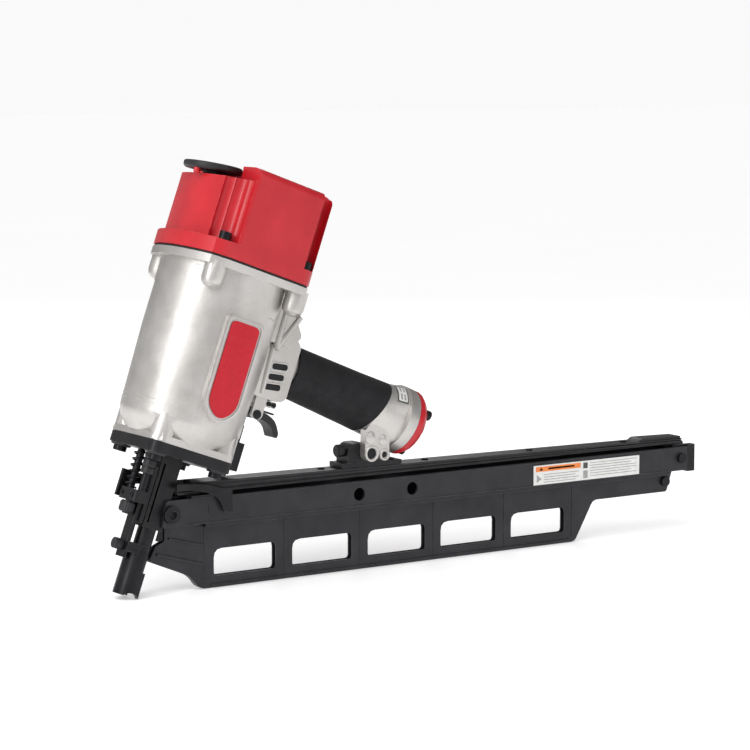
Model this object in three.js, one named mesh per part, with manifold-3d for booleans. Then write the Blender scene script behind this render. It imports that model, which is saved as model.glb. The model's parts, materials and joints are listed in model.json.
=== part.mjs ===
// Pneumatic framing nailer of the 21 degree round-head class, standing on its magazine.
// Millimetres, +Z up, +X along the magazine to the rear, near side -Y.
import * as THREE from 'three';
import { mergeVertices } from 'three/addons/utils/BufferGeometryUtils.js';
import Module from 'manifold-3d';

const wasm = await Module();
wasm.setup();

// ---------------------------------------------------------------- driving dimensions
const GAP = 0.3; // clearance between pieces that touch on the real tool
const degrees = Math.PI / 180;

// The driver axis: every body piece is drawn around it, x rearwards, z up along the axis.
const AXIS_FOOT_X = -74;
const AXIS_LEAN = 20 * degrees;

// Heights along the driver axis.
const NOSE_TIP = 12;
const GUIDE_BOTTOM = 54.3;
const FLANGE_BOTTOM = 109.4;
const FLANGE_TOP = 117.6;
const HOUSING_BOTTOM = FLANGE_TOP + GAP;
const HOUSING_FLOOR = 123;
const HOUSING_TOP = 258.9;
const GASKET_THICKNESS = 1.2;
const CAP_BOTTOM = HOUSING_TOP + GASKET_THICKNESS + 2 * GAP;
const CAP_BAND_TOP = 272;
const CUT_TOP = 345; // above everything, for cuts open at the top
const CAP_ROOF = 306;
const CAP_TOP = 331;

// Cylinder and driver.
const SLEEVE_OUTER = 33;
const SLEEVE_BORE = 29.5;
const CHAMBER_RADIUS = 37;
const CHAMBER_FOOT_RADIUS = 33.4;
const CHAMBER_FOOT_TOP = 138;
const SLEEVE_BOTTOM = 124.5;
const SLEEVE_TOP = 257;
const PISTON_BOTTOM = 243;
const PISTON_TOP = 256;
const BUMPER_TOP = 147;
const BLADE_RADIUS = 3.4;
const BLADE_TIP = 98;
const CHANNEL_RADIUS = 4.4;

// Barrel, cap and bolt pattern.
const BARREL_RADIUS = 46.6;
const BARREL_TOP_RADIUS = 48.4;
const BARREL_COLLAR_RADIUS = 49;
const BARREL_STEP = 234;
const LUG_BOTTOM = 236;
const CAP_LUG_RADIUS = 8.4;
const CAP_HALF_WIDTH = 49.5;
const CAP_REAR = 48.5;
const CAP_CORNER_X = -41;
const CAP_CORNER_Y = 44.5;
const CAP_SHOULDER_X = -28;
const CAP_BOW_RADIUS = 86;
const CAP_FRONT_STEP = 2;
const CAP_EDGE_RADIUS = 6;
const CAP_REAR_ROUND = 12;
const CAP_BOLT_FRONT = -32;
const CAP_BOLT_REAR = 42;
const CAP_BOLT_Y = 40;
const NOSE_BOLT = 27;
const FOOT_HALF = 36;
const FOOT_CORNER = 9.5;

// Exhaust deflector on the front of the cap.
const DEFLECTOR_X = -35.4;
const DEFLECTOR_Z = 322.5;
const DEFLECTOR_TILT = -7.7 * degrees;
const DEFLECTOR_RADIUS = 22.4;
const DEFLECTOR_THICKNESS = 5.5;
const DOME_TOP = -3.2; // below the deflector, which turns in a recess of the dome

// Handle: its own axis starts at the neck and drops a little towards the end cap.
const NECK_END = 75;
const HANDLE_X = 76;
const HANDLE_Z = 200;
const HANDLE_DROP = 4.05 * degrees;
const HANDLE_FLATNESS = 0.86;
const GRIP_THICKNESS = 3;
const GRIP_START = 1.2;
const GRIP_END = 85;
const GRIP_END_SLANT = 19.7 * degrees;
const HANDLE_FLANGE_START = 107;
const HANDLE_FLANGE_END = 116;
const HANDLE_FLANGE_RADIUS = 26.5;
const HANDLE_BORE = 12;
const END_CAP_START = HANDLE_FLANGE_END + GAP;
const END_CAP_THICKNESS = 8.3;
const END_BOLT_CIRCLE = 20.5;

// Magazine.
const MAGAZINE_FRONT = -48.8;
const MAGAZINE_REAR = 460;
const BODY_BOTTOM = 51.3;
const BODY_TOP = 71.5;
const BODY_HALF = 11;
const BODY_INNER = 8.4;
const FIN_HALF = 3.15;
const FIN_GROOVE = 2;
const FIN_FLOOR = 3;
const SLOT_PITCH = 70;
const SLOT_COUNT = 5;
const SLOT_LENGTH = 55;
const SLOT_BOTTOM = 9;
const SLOT_TOP = 29.7;
const RAIL_FRONT = -34;
const RAIL_REAR = 456;
const RAIL_BOTTOM = 74.6;
const RAIL_TOP_FRONT = 83.4;
const RAIL_TOP_REAR = 78.4;

// Safety and trigger.
const ROD_X = -18.9;
const ROD_Y = 8.6;
const ROD_RADIUS = 2.9;
const CARRIAGE_BOTTOM = 70.3;
const CARRIAGE_TOP = 79.3;
const STUD_X = -21.9;
const STUD_RADIUS = 2.6;
const STRAP_HALF = 5.4;
const COLLAR_BOTTOM = 33.5;
const COLLAR_TOP = 41;
const ARM_INSIDE = 14.2;
const ARM_OUTSIDE = 17;
const ARM_FRONT = 50.5;
const ARM_REAR = 58;
const TRIGGER_PIN = { x: 57.5, z: 160 };
const PLUNGER_X = 64;
const TIP_SCREW_HEIGHT = 37.2;

// Cross holes in the lug plates and the magazine bracket.
const BRACKET_BOLT = { x: 135, z: 93 };
const BRACKET_PIN = { x: 147, z: 91.3 };

// Magazine screws.
const FRONT_BOLT = { x: -41.1, z: 61.1 };
const REAR_BOLT = { x: 453, z: 62 };
const FIN_BOLT = { x: 441.5, z: 42 };

// ---------------------------------------------------------------- shape helpers
function solidOf(geometry) {
  const bare = geometry.index ? geometry.clone() : geometry;
  bare.deleteAttribute('normal');
  bare.deleteAttribute('uv');
  const merged = mergeVertices(bare, 1e-4);
  const corners = merged.index.array;
  const triVerts = [];
  for (let i = 0; i < corners.length; i += 3) {
    const [a, b, c] = corners.slice(i, i + 3);
    if (a !== b && b !== c && c !== a) triVerts.push(a, b, c); // leaves out a lathe's slivers on its axis
  }
  return new wasm.Manifold(new wasm.Mesh({
    numProp: 3,
    vertProperties: new Float32Array(merged.attributes.position.array),
    triVerts: new Uint32Array(triVerts),
  }));
}

function geometryOf(solid) {
  const mesh = solid.getMesh();
  const geometry = new THREE.BufferGeometry();
  const positions = new Float32Array(mesh.vertProperties);
  geometry.setAttribute('position', new THREE.BufferAttribute(positions, 3));
  geometry.setIndex(new THREE.BufferAttribute(new Uint32Array(mesh.triVerts), 1));
  geometry.computeVertexNormals();
  return geometry;
}

function join(...geometries) {
  return geometryOf(geometries.map(solidOf).reduce((sum, solid) => sum.add(solid)));
}

function cut(base, ...tools) {
  return geometryOf(tools.map(solidOf).reduce((rest, tool) => rest.subtract(tool), solidOf(base)));
}

function common(first, second) {
  return geometryOf(solidOf(first).intersect(solidOf(second)));
}

function box(x0, x1, y0, y1, z0, z1) {
  const geometry = new THREE.BoxGeometry(x1 - x0, y1 - y0, z1 - z0);
  return geometry.translate((x0 + x1) / 2, (y0 + y1) / 2, (z0 + z1) / 2);
}

// Round bar along Z, Y or X.
function rod(radius, z0, z1, x = 0, y = 0, sides = 16) {
  const geometry = new THREE.CylinderGeometry(radius, radius, z1 - z0, sides);
  return geometry.rotateX(Math.PI / 2).translate(x, y, (z0 + z1) / 2);
}

function rodAcross(radius, y0, y1, x, z, sides = 14) {
  const geometry = new THREE.CylinderGeometry(radius, radius, y1 - y0, sides);
  return geometry.translate(x, (y0 + y1) / 2, z);
}

function rodAlong(radius, x0, x1, y, z, sides = 14) {
  const geometry = new THREE.CylinderGeometry(radius, radius, x1 - x0, sides);
  return geometry.rotateZ(Math.PI / 2).translate((x0 + x1) / 2, y, z);
}

// Turned piece around Z from [radius, height] points.
function turned(points, sides = 28) {
  const profile = points.map(([radius, height]) => new THREE.Vector2(radius, height));
  return new THREE.LatheGeometry(profile, sides).rotateX(Math.PI / 2);
}

function ring(outer, inner, z0, z1, sides = 28) {
  return turned([[inner, z0], [outer, z0], [outer, z1], [inner, z1], [inner, z0]], sides);
}

// Outline from [x, y, cornerRadius] points, each corner rounded by a curve.
function outline(points) {
  const shape = new THREE.Shape();
  points.forEach(([x, y, radius = 0], i) => {
    const corner = new THREE.Vector2(x, y);
    const before = new THREE.Vector2(...points.at(i - 1).slice(0, 2)).sub(corner);
    const after = new THREE.Vector2(...points[(i + 1) % points.length].slice(0, 2)).sub(corner);
    const reach = Math.min(radius, 0.48 * before.length(), 0.48 * after.length());
    const start = corner.clone().add(before.setLength(reach));
    const end = corner.clone().add(after.setLength(reach));
    if (i === 0) shape.moveTo(start.x, start.y);
    else shape.lineTo(start.x, start.y);
    if (radius > 0) shape.quadraticCurveTo(x, y, end.x, end.y);
  });
  shape.closePath();
  return shape;
}

// Plate seen from above, z0 to z1.
function plate(shape, z0, z1, curveSegments = 5) {
  const options = { depth: z1 - z0, bevelEnabled: false, curveSegments };
  return new THREE.ExtrudeGeometry(shape, options).translate(0, 0, z0);
}

// The same with every top and bottom edge rounded off, the outline grown by the radius.
function softPlate(shape, z0, z1, radius) {
  const depth = z1 - z0 - 2 * radius;
  const bevel = { bevelThickness: radius, bevelSize: radius, bevelSegments: 3 };
  const options = { depth, ...bevel, curveSegments: 8 };
  return new THREE.ExtrudeGeometry(shape, options).translate(0, 0, z0 + radius);
}

// Plate seen from the side: the outline's y becomes z, and it fills y0 to y1.
function sidePlate(points, y0, y1, curveSegments = 4) {
  const options = { depth: y1 - y0, bevelEnabled: false, curveSegments };
  return new THREE.ExtrudeGeometry(outline(points), options).rotateX(Math.PI / 2).translate(0, y1, 0);
}

// Coil spring of round wire around a Z axis.
class Helix extends THREE.Curve {
  constructor(radius, z0, z1, turns) {
    super();
    Object.assign(this, { radius, z0, z1, turns });
  }

  getPoint(t, target = new THREE.Vector3()) {
    const angle = t * this.turns * 2 * Math.PI;
    const height = this.z0 + (this.z1 - this.z0) * t;
    return target.set(this.radius * Math.cos(angle), this.radius * Math.sin(angle), height);
  }
}

function coil(radius, wire, z0, z1, turns) {
  const section = new THREE.Shape().absarc(0, 0, wire, 0, 2 * Math.PI);
  const path = new Helix(radius, z0 + wire, z1 - wire, turns);
  const options = { steps: turns * 10, extrudePath: path, curveSegments: 2, bevelEnabled: false };
  return new THREE.ExtrudeGeometry(section, options);
}

// ---------------------------------------------------------------- frames and materials
const driverMatrix = new THREE.Matrix4()
  .makeTranslation(AXIS_FOOT_X, 0, 0)
  .multiply(new THREE.Matrix4().makeRotationY(AXIS_LEAN));
const handleMatrix = new THREE.Matrix4()
  .makeTranslation(HANDLE_X, 0, HANDLE_Z)
  .multiply(new THREE.Matrix4().makeRotationY(Math.PI / 2 + HANDLE_DROP));
const deflectorMatrix = new THREE.Matrix4()
  .makeTranslation(DEFLECTOR_X, 0, DEFLECTOR_Z)
  .multiply(new THREE.Matrix4().makeRotationY(DEFLECTOR_TILT));
const magazineToDriver = driverMatrix.clone().invert();

function placedGroup(matrix) {
  const group = new THREE.Group();
  matrix.decompose(group.position, group.quaternion, group.scale);
  return group;
}

const MATERIALS = {
  cast: [0xc4bfba, 0.38, 0.85],
  red: [0xc4202e, 0.35, 0.1],
  black: [0x2c2d31, 0.55, 0.3],
  blackPaint: [0x3c3d43, 0.5, 0.3],
  rubber: [0x1c1d1f, 0.85, 0],
  steel: [0xa9abae, 0.3, 1],
  darkSteel: [0x1f2023, 0.45, 0.8],
  brass: [0xb59a55, 0.35, 1],
  label: [0xe6e6e6, 0.6, 0],
};

function addPiece(group, name, geometry, materialName) {
  const [color, roughness, metalness] = MATERIALS[materialName];
  const material = new THREE.MeshStandardMaterial({ color, roughness, metalness });
  const mesh = new THREE.Mesh(geometry, material);
  mesh.name = name;
  group.add(mesh);
}

const tool = new THREE.Group();
const driver = placedGroup(driverMatrix);
const handle = placedGroup(handleMatrix);
const deflector = placedGroup(deflectorMatrix);
const magazine = new THREE.Group();
tool.add(driver, magazine);
driver.add(handle, deflector);

const SIDES = [['near', -1], ['far', 1]];
const ENDS = [['front', -1], ['rear', 1]];

function eachCorner(halfX, halfY, make) {
  return ENDS.flatMap(([, alongX]) => SIDES.map(([, alongY]) => make(alongX * halfX, alongY * halfY)));
}

function eachCapBolt(make) {
  return [CAP_BOLT_FRONT, CAP_BOLT_REAR].flatMap((x) => SIDES.map(([, side]) => make(x, side * CAP_BOLT_Y)));
}

// ---------------------------------------------------------------- shared outlines
// The cap's plan: straight sides, rounded rear corners, slanted shoulders and a bowed front.
function capPlan(inset = 0, frontInset = inset) {
  const rear = CAP_REAR - inset;
  const side = CAP_HALF_WIDTH - inset;
  const round = CAP_REAR_ROUND - inset;
  const cornerX = CAP_CORNER_X + frontInset;
  const cornerY = CAP_CORNER_Y - frontInset * 0.8;
  const reach = Math.asin(cornerY / CAP_BOW_RADIUS);
  const bowCentre = cornerX + CAP_BOW_RADIUS * Math.cos(reach);
  const shape = new THREE.Shape();
  shape.moveTo(rear, -side + round);
  shape.lineTo(rear, side - round);
  shape.quadraticCurveTo(rear, side, rear - round, side);
  shape.lineTo(CAP_SHOULDER_X + frontInset, side);
  shape.absarc(bowCentre, 0, CAP_BOW_RADIUS, Math.PI - reach, Math.PI + reach);
  shape.lineTo(CAP_SHOULDER_X + frontInset, -side);
  shape.lineTo(rear - round, -side);
  shape.quadraticCurveTo(rear, -side, rear, -side + round);
  return shape;
}

function footPlan(half, corner) {
  const corners = [[-half, -half], [half, -half], [half, half], [-half, half]];
  return outline(corners.map(([x, y]) => [x, y, corner]));
}

// Half height of the handle at a distance along it.
const HANDLE_PROFILE = [[20.3, 0], [21, 30], [21.9, 65], [23.2, 95]];
const HANDLE_END_RADIUS = 26;

function handleBody(inset, start, end) {
  const points = HANDLE_PROFILE.map(([radius, along]) => [radius - inset, along]);
  const first = [[0, start], [points[0][0], start]];
  const last = [[HANDLE_END_RADIUS - inset, end], [0, end]];
  const body = turned([...first, ...points.slice(1), ...last], 24);
  return body.scale(1, HANDLE_FLATNESS, 1);
}

// Everything of the handle behind the slanted end of the rubber grip.
function behindGrip(offset) {
  const block = box(-60, 60, -60, 60, 0, 90);
  return block.rotateY(GRIP_END_SLANT).translate(0, 0, GRIP_END + offset);
}

// ---------------------------------------------------------------- body castings
function mainHousing() {
  const barrel = turned([
    [0, HOUSING_BOTTOM + 4], [37, HOUSING_BOTTOM + 4], [40, 126], [44.5, 131], [BARREL_RADIUS, 138],
    [BARREL_TOP_RADIUS, 200], [BARREL_TOP_RADIUS, BARREL_STEP - 1], [BARREL_COLLAR_RADIUS, BARREL_STEP],
    [BARREL_COLLAR_RADIUS, HOUSING_TOP - 2], [0, HOUSING_TOP - 2],
  ], 36);
  const foot = plate(footPlan(FOOT_HALF, FOOT_CORNER), HOUSING_BOTTOM, HOUSING_BOTTOM + 5);
  const footLugs = eachCorner(NOSE_BOLT, NOSE_BOLT, (x, y) => rod(9, HOUSING_BOTTOM, 139, x, y, 12));
  const topFlange = plate(capPlan(), HOUSING_TOP - 6, HOUSING_TOP);
  const capLugs = eachCapBolt((x, y) => turned([
    [0, LUG_BOTTOM], [4.5, LUG_BOTTOM + 0.6], [7.4, LUG_BOTTOM + 3], [CAP_LUG_RADIUS, LUG_BOTTOM + 6.5],
    [CAP_LUG_RADIUS, HOUSING_TOP - 3], [0, HOUSING_TOP - 3],
  ], 20).translate(x, y, 0));
  const neck = sidePlate([
    [30, 232], [56, 232, 6], [NECK_END, 219.5, 4], [NECK_END, 177, 6], [70, 173.3, 3], [30, 173.3],
  ], -15.5, 15.5);
  const gusset = sidePlate([[30, 256], [48, 253, 3], [70, 225, 4], [60, 215], [30, 215]], -21, 21);
  const ears = SIDES.map(([, side]) => sidePlate(
    [[52.5, 174], [62.5, 174], [62.5, 156.5, 4], [52.5, 156.5, 4]],
    side < 0 ? -9.8 : 7.3, side < 0 ? -7.3 : 9.8));
  const badgePads = SIDES.map(([, side]) => sidePlate(
    [[-15, 222, 5], [18, 222, 5], [18, 152, 14], [1.5, 139, 12], [-15, 152, 14]],
    side < 0 ? -49.8 : 40, side < 0 ? -40 : 49.8));
  const core = handleBody(GRIP_THICKNESS + GAP, -20, HANDLE_FLANGE_START + 2);
  const handleEnd = common(handleBody(0, 0, HANDLE_FLANGE_START + 2), behindGrip(GAP));
  const flange = rod(HANDLE_FLANGE_RADIUS, HANDLE_FLANGE_START, HANDLE_FLANGE_END, 0, 0, 36);
  const handleCasting = join(core, handleEnd, flange).applyMatrix4(handleMatrix);
  const lugArm = sidePlate([[129, 94], [129.5, 112], [136, 118], [152, 112], [151.5, 91]], -16, -8.8);
  const lugPlate = join(lugArm,
    rodAcross(6.3, -16, -8.8, BRACKET_BOLT.x, BRACKET_BOLT.z),
    rodAcross(4.7, -16, -8.8, BRACKET_PIN.x, BRACKET_PIN.z)).applyMatrix4(magazineToDriver);
  const solid = join(
    barrel, foot, ...footLugs, topFlange, ...capLugs, neck, gusset, ...ears, ...badgePads,
    handleCasting, lugPlate);
  const endHoles = endBoltPlaces().map(([x, y]) => rod(2.7, 107.5, 117, x, y, 8));
  const airPassage = rod(HANDLE_BORE, -50, 118, 0, 0, 18);
  const bracketHole = rodAcross(3.2, -17, 17, BRACKET_BOLT.x, BRACKET_BOLT.z, 16);
  const bracketRecess = rodAcross(4.4, -17, -12.4, BRACKET_BOLT.x, BRACKET_BOLT.z, 16);
  const pinHole = rodAcross(2.5, -17, 17, BRACKET_PIN.x, BRACKET_PIN.z, 12);
  return cut(solid,
    rod(CHAMBER_FOOT_RADIUS, HOUSING_FLOOR, HOUSING_TOP + 5, 0, 0, 36),
    rod(CHAMBER_RADIUS, CHAMBER_FOOT_TOP, HOUSING_TOP + 5, 0, 0, 36),
    rod(6.2, HOUSING_BOTTOM - 2, HOUSING_FLOOR + 2, 0, 0, 16),
    ...eachCapBolt((x, y) => rod(3.3, 240, HOUSING_TOP + 2, x, y, 8)),
    ...eachCorner(NOSE_BOLT, NOSE_BOLT, (x, y) => rod(3.3, HOUSING_BOTTOM - 2, 131, x, y, 8)),
    rodAcross(2.3, -12, 12, TRIGGER_PIN.x, TRIGGER_PIN.z, 12),
    rod(6.3, 166, 186, PLUNGER_X, 0, 16),
    join(airPassage, ...endHoles).applyMatrix4(handleMatrix),
    join(bracketHole, bracketRecess).applyMatrix4(magazineToDriver),
    pinHole.applyMatrix4(magazineToDriver));
}

// The open corner above each front bolt: two flutes around the bolt's well.
function frontValley(side) {
  const flutes = [[-38.5, 37.3], [-29.5, 45]].map(([x, y]) => rod(6, CAP_BAND_TOP, CUT_TOP, x, side * y, 16));
  const well = rod(6.2, CAP_BAND_TOP, CUT_TOP, CAP_BOLT_FRONT, side * CAP_BOLT_Y, 16);
  const corner = outline([[-45.5, 35.5], [-35.5, 40.5], [-29, 48], [-27, 65], [-65, 65], [-65, 35.5]]);
  const outside = plate(corner, CAP_BAND_TOP, CUT_TOP);
  if (side < 0) outside.rotateX(Math.PI).translate(0, 0, CUT_TOP + CAP_BAND_TOP);
  return join(...flutes, well, outside);
}

// The channel above each rear bolt, open to the side, with a wall left behind it.
function rearValley(side) {
  const x = CAP_BOLT_REAR;
  const y = side * CAP_BOLT_Y;
  const well = rod(5, CAP_BAND_TOP, CUT_TOP, x, y, 16);
  const opening = outline([[x + 5, y], [x - 5, y], [x - 8, y * 1.5], [x + 5, y * 1.5]]);
  return join(well, plate(opening, CAP_BAND_TOP, CUT_TOP));
}

function cylinderCap() {
  const band = plate(capPlan(), CAP_BOTTOM, CAP_BAND_TOP, 8);
  const softPlan = capPlan(CAP_EDGE_RADIUS, CAP_EDGE_RADIUS + CAP_FRONT_STEP);
  const upper = softPlate(softPlan, CAP_BAND_TOP - CAP_EDGE_RADIUS - 1, CAP_TOP, CAP_EDGE_RADIUS);
  const domeCut = join(
    box(-45, 12, -60, 60, DOME_TOP, 40), rod(26.5, DOME_TOP, 40, 0, 0, 36), rod(7.5, -5.3, 0, 0, 0, 18));
  domeCut.applyMatrix4(deflectorMatrix);
  const exhaustDucts = [-12, 12].map((y) => rod(5, 290, 318, -36, y, 16));
  const chamberVents = [-15, 15].map((y) => rod(5, CAP_ROOF - 4, 312, 25, y, 16));
  return cut(join(band, upper), domeCut,
    ...SIDES.map(([, side]) => frontValley(side)),
    ...SIDES.map(([, side]) => rearValley(side)),
    rod(35.5, CAP_BOTTOM - 2, CAP_ROOF, 0, 0, 36),
    ...exhaustDucts,
    ...chamberVents,
    box(0, 38, -32, 32, 311, 326),
    ...eachCapBolt((x, y) => rod(3.3, CAP_BOTTOM - 2, CAP_BAND_TOP + 1, x, y, 8)),
    rod(2.6, -12, -4, 0, 0, 12).applyMatrix4(deflectorMatrix));
}

addPiece(driver, 'main_housing', mainHousing(), 'cast');
addPiece(driver, 'cylinder_cap', cylinderCap(), 'red');
addPiece(driver, 'cap_gasket', cut(
  plate(capPlan(0.8), HOUSING_TOP + GAP, HOUSING_TOP + GAP + GASKET_THICKNESS, 8),
  rod(38, 250, 270, 0, 0, 36),
  ...eachCapBolt((x, y) => rod(3.4, 250, 270, x, y, 8))), 'rubber');

// Socket head bolt along +Z: the head above headSeat, the shank down to shankEnd.
function socketBolt(headRadius, shankRadius, shankEnd, headSeat, headTop) {
  const shank = rod(shankRadius, shankEnd, headSeat + 1, 0, 0, 12);
  const head = rod(headRadius, headSeat, headTop);
  return cut(join(shank, head), rod(headRadius * 0.52, headTop - 3, headTop + 1, 0, 0, 6));
}

for (const [endName, alongX] of ENDS) {
  for (const [sideName, alongY] of SIDES) {
    const capBolt = socketBolt(4.5, 3, 242, CAP_BAND_TOP + GAP, CAP_BAND_TOP + 6.5);
    capBolt.translate(alongX < 0 ? CAP_BOLT_FRONT : CAP_BOLT_REAR, alongY * CAP_BOLT_Y, 0);
    addPiece(driver, `cap_bolt_${endName}_${sideName}`, capBolt, 'darkSteel');
    const noseBolt = socketBolt(5.2, 3, -129, GAP - FLANGE_BOTTOM, 5.8 - FLANGE_BOTTOM).rotateX(Math.PI);
    noseBolt.translate(alongX * NOSE_BOLT, alongY * NOSE_BOLT, 0);
    addPiece(driver, `nose_bolt_${endName}_${sideName}`, noseBolt, 'darkSteel');
  }
}

// ---------------------------------------------------------------- exhaust deflector
addPiece(deflector, 'exhaust_deflector', cut(
  turned([
    [0, -5], [7, -5], [7, 0], [DEFLECTOR_RADIUS - 1.5, 0], [DEFLECTOR_RADIUS, 1.5],
    [DEFLECTOR_RADIUS, DEFLECTOR_THICKNESS - 1], [DEFLECTOR_RADIUS - 1, DEFLECTOR_THICKNESS],
    [0, DEFLECTOR_THICKNESS],
  ]),
  rod(4.8, 3, 8, 0, 0, 16), rod(2.6, -6, 4, 0, 0, 12)), 'black');
addPiece(deflector, 'deflector_screw', socketBolt(4.2, 2.2, -11, 3.3, 5.4), 'darkSteel');

// ---------------------------------------------------------------- cylinder, valve and driver
addPiece(driver, 'cylinder_sleeve', ring(SLEEVE_OUTER, SLEEVE_BORE, SLEEVE_BOTTOM, SLEEVE_TOP, 32), 'steel');
addPiece(driver, 'cylinder_seal', ring(36.7, SLEEVE_OUTER + GAP, 178, 182, 28), 'rubber');
addPiece(driver, 'head_valve', turned([
  [12.5, 257.3], [35, 257.3], [35, 284], [31, 284], [31, 262], [16.5, 262], [16.5, 284], [12.5, 284],
  [12.5, 257.3],
], 28), 'black');
addPiece(driver, 'head_valve_spring', coil(24, 1.5, 262.4, CAP_ROOF - GAP, 5), 'steel');
addPiece(driver, 'piston_stop', turned([
  [0, PISTON_TOP + 0.8], [10, PISTON_TOP + 0.8], [12, PISTON_TOP + 3], [12, CAP_ROOF - GAP],
  [0, CAP_ROOF - GAP],
], 24), 'rubber');
addPiece(driver, 'piston', turned([
  [0, PISTON_BOTTOM], [28.9, PISTON_BOTTOM], [28.9, 247.5], [26, 247.5], [26, 250.9], [28.9, 250.9],
  [28.9, PISTON_TOP], [0, PISTON_TOP],
], 28), 'steel');
addPiece(driver, 'piston_ring', ring(29.2, 26.3, 247.8, 250.6, 28), 'rubber');
addPiece(driver, 'driver_blade', rod(BLADE_RADIUS, BLADE_TIP, PISTON_BOTTOM - GAP, 0, 0, 16), 'darkSteel');
addPiece(driver, 'bumper', turned([
  [5.2, HOUSING_FLOOR + GAP], [29.2, HOUSING_FLOOR + GAP], [29.2, 138], [22, BUMPER_TOP], [8, BUMPER_TOP],
  [5.2, 143], [5.2, HOUSING_FLOOR + GAP],
], 24), 'rubber');

// ---------------------------------------------------------------- nose
function noseBody() {
  const flange = plate(footPlan(FOOT_HALF, FOOT_CORNER), FLANGE_BOTTOM, FLANGE_TOP);
  const guide = box(-9, 8, -8, 8, GUIDE_BOTTOM, FLANGE_BOTTOM + 1);
  const snout = rod(7, NOSE_TIP, GUIDE_BOTTOM + 1, 0, 0, 18);
  const cheeks = SIDES.map(([, side]) => box(7, 15, side < 0 ? -8 : 5, side < 0 ? -5 : 8, 60, 78));
  return cut(join(flange, guide, snout, ...cheeks),
    rod(CHANNEL_RADIUS, NOSE_TIP - 2, FLANGE_TOP + 2, 0, 0, 16),
    box(0, 20, -1.9, 1.9, NOSE_TIP - 2, 92),
    box(0, 20, -CHANNEL_RADIUS, CHANNEL_RADIUS, 76, 94),
    box(-6.6, -4.8, -10, -5.5, 58, 104),
    rodAcross(2.7, -12, 12, 10, 68.6, 12),
    ...[-ROD_Y, ROD_Y].map((y) => rod(ROD_RADIUS - 0.8, FLANGE_BOTTOM - 2, FLANGE_BOTTOM + 6, ROD_X, y, 16)),
    ...eachCorner(NOSE_BOLT, NOSE_BOLT, (x, y) => rod(3.3, FLANGE_BOTTOM - 2, FLANGE_TOP + 2, x, y, 8)));
}

addPiece(driver, 'nose_body', noseBody(), 'black');
addPiece(driver, 'nose_cover', box(-12.8, -9.3, -7.6, 7.6, GUIDE_BOTTOM + 2, 100), 'blackPaint');

// ---------------------------------------------------------------- safety: contact tip to trigger
function contactTip() {
  const claw = cut(ring(11.2, 7.5, 1.5, COLLAR_TOP - 3, 24),
    box(4, 20, -20, 20, 0, 50),
    box(0, 20, -20, 20, 21, 50),
    rodAcross(7, -20, 20, -2, -2.5, 16));
  const collar = cut(box(-17, 1, -9.3, 9.3, COLLAR_BOTTOM, COLLAR_TOP), rod(7.5, 30, 45, 0, 0, 24));
  const strap = box(-16.5, -13.5, -STRAP_HALF, STRAP_HALF, COLLAR_BOTTOM - 5, CARRIAGE_TOP);
  return cut(join(claw, collar, strap),
    rodAlong(2.2, -20, -10, 0, TIP_SCREW_HEIGHT, 12),
    rodAlong(1.6, -20, -10, 0, 74.8, 10));
}

addPiece(driver, 'contact_tip', contactTip(), 'darkSteel');
addPiece(driver, 'tip_screw', join(
  rodAlong(1.9, -20, -12, 0, TIP_SCREW_HEIGHT, 12),
  rodAlong(4.2, -24, -17.3, 0, TIP_SCREW_HEIGHT, 20)), 'black');
addPiece(driver, 'depth_adjuster', cut(
  rod(5.1, 61, 69.7, STUD_X, 0, 18), rod(STUD_RADIUS + GAP, 60, 71, STUD_X, 0, 16)), 'black');
const carriagePlan = outline([[-25.4, -12.4, 4], [-14.4, -12.4], [-14.4, 12.4], [-25.4, 12.4, 4]]);
addPiece(driver, 'safety_carriage', join(
  cut(plate(carriagePlan, CARRIAGE_BOTTOM, CARRIAGE_TOP),
    box(-16.8, -13, -STRAP_HALF - GAP, STRAP_HALF + GAP, 69, 81),
    ...[-ROD_Y, ROD_Y].map((y) => rod(ROD_RADIUS + 0.35, 69, 81, ROD_X, y, 20))),
  rod(STUD_RADIUS, 60, CARRIAGE_BOTTOM + 1, STUD_X, 0, 16)), 'blackPaint');
for (const [sideName, side] of SIDES) {
  addPiece(driver, `safety_rod_${sideName}`, join(
    rod(ROD_RADIUS, CARRIAGE_BOTTOM + 1, FLANGE_BOTTOM - GAP, ROD_X, side * ROD_Y, 20),
    rod(ROD_RADIUS - 1.1, FLANGE_BOTTOM - 1, FLANGE_BOTTOM + 5.7, ROD_X, side * ROD_Y, 16)), 'darkSteel');
}
addPiece(driver, 'safety_spring',
  coil(4.6, 0.7, CARRIAGE_TOP + GAP, FLANGE_BOTTOM - GAP, 6).translate(ROD_X, ROD_Y, 0), 'darkSteel');
addPiece(driver, 'safety_arm', join(
  box(-26, -16, ARM_INSIDE, ARM_OUTSIDE, CARRIAGE_BOTTOM + 1, 92),
  box(-26, ARM_REAR, ARM_INSIDE, ARM_OUTSIDE, 84, 92),
  box(ARM_FRONT, ARM_REAR, ARM_INSIDE, ARM_OUTSIDE, 84, 136),
  box(ARM_FRONT, ARM_REAR, -5, ARM_OUTSIDE, 114, 136),
  box(ARM_FRONT, ARM_FRONT + 3, -4, 4, 130, 149.5)), 'darkSteel');

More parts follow.
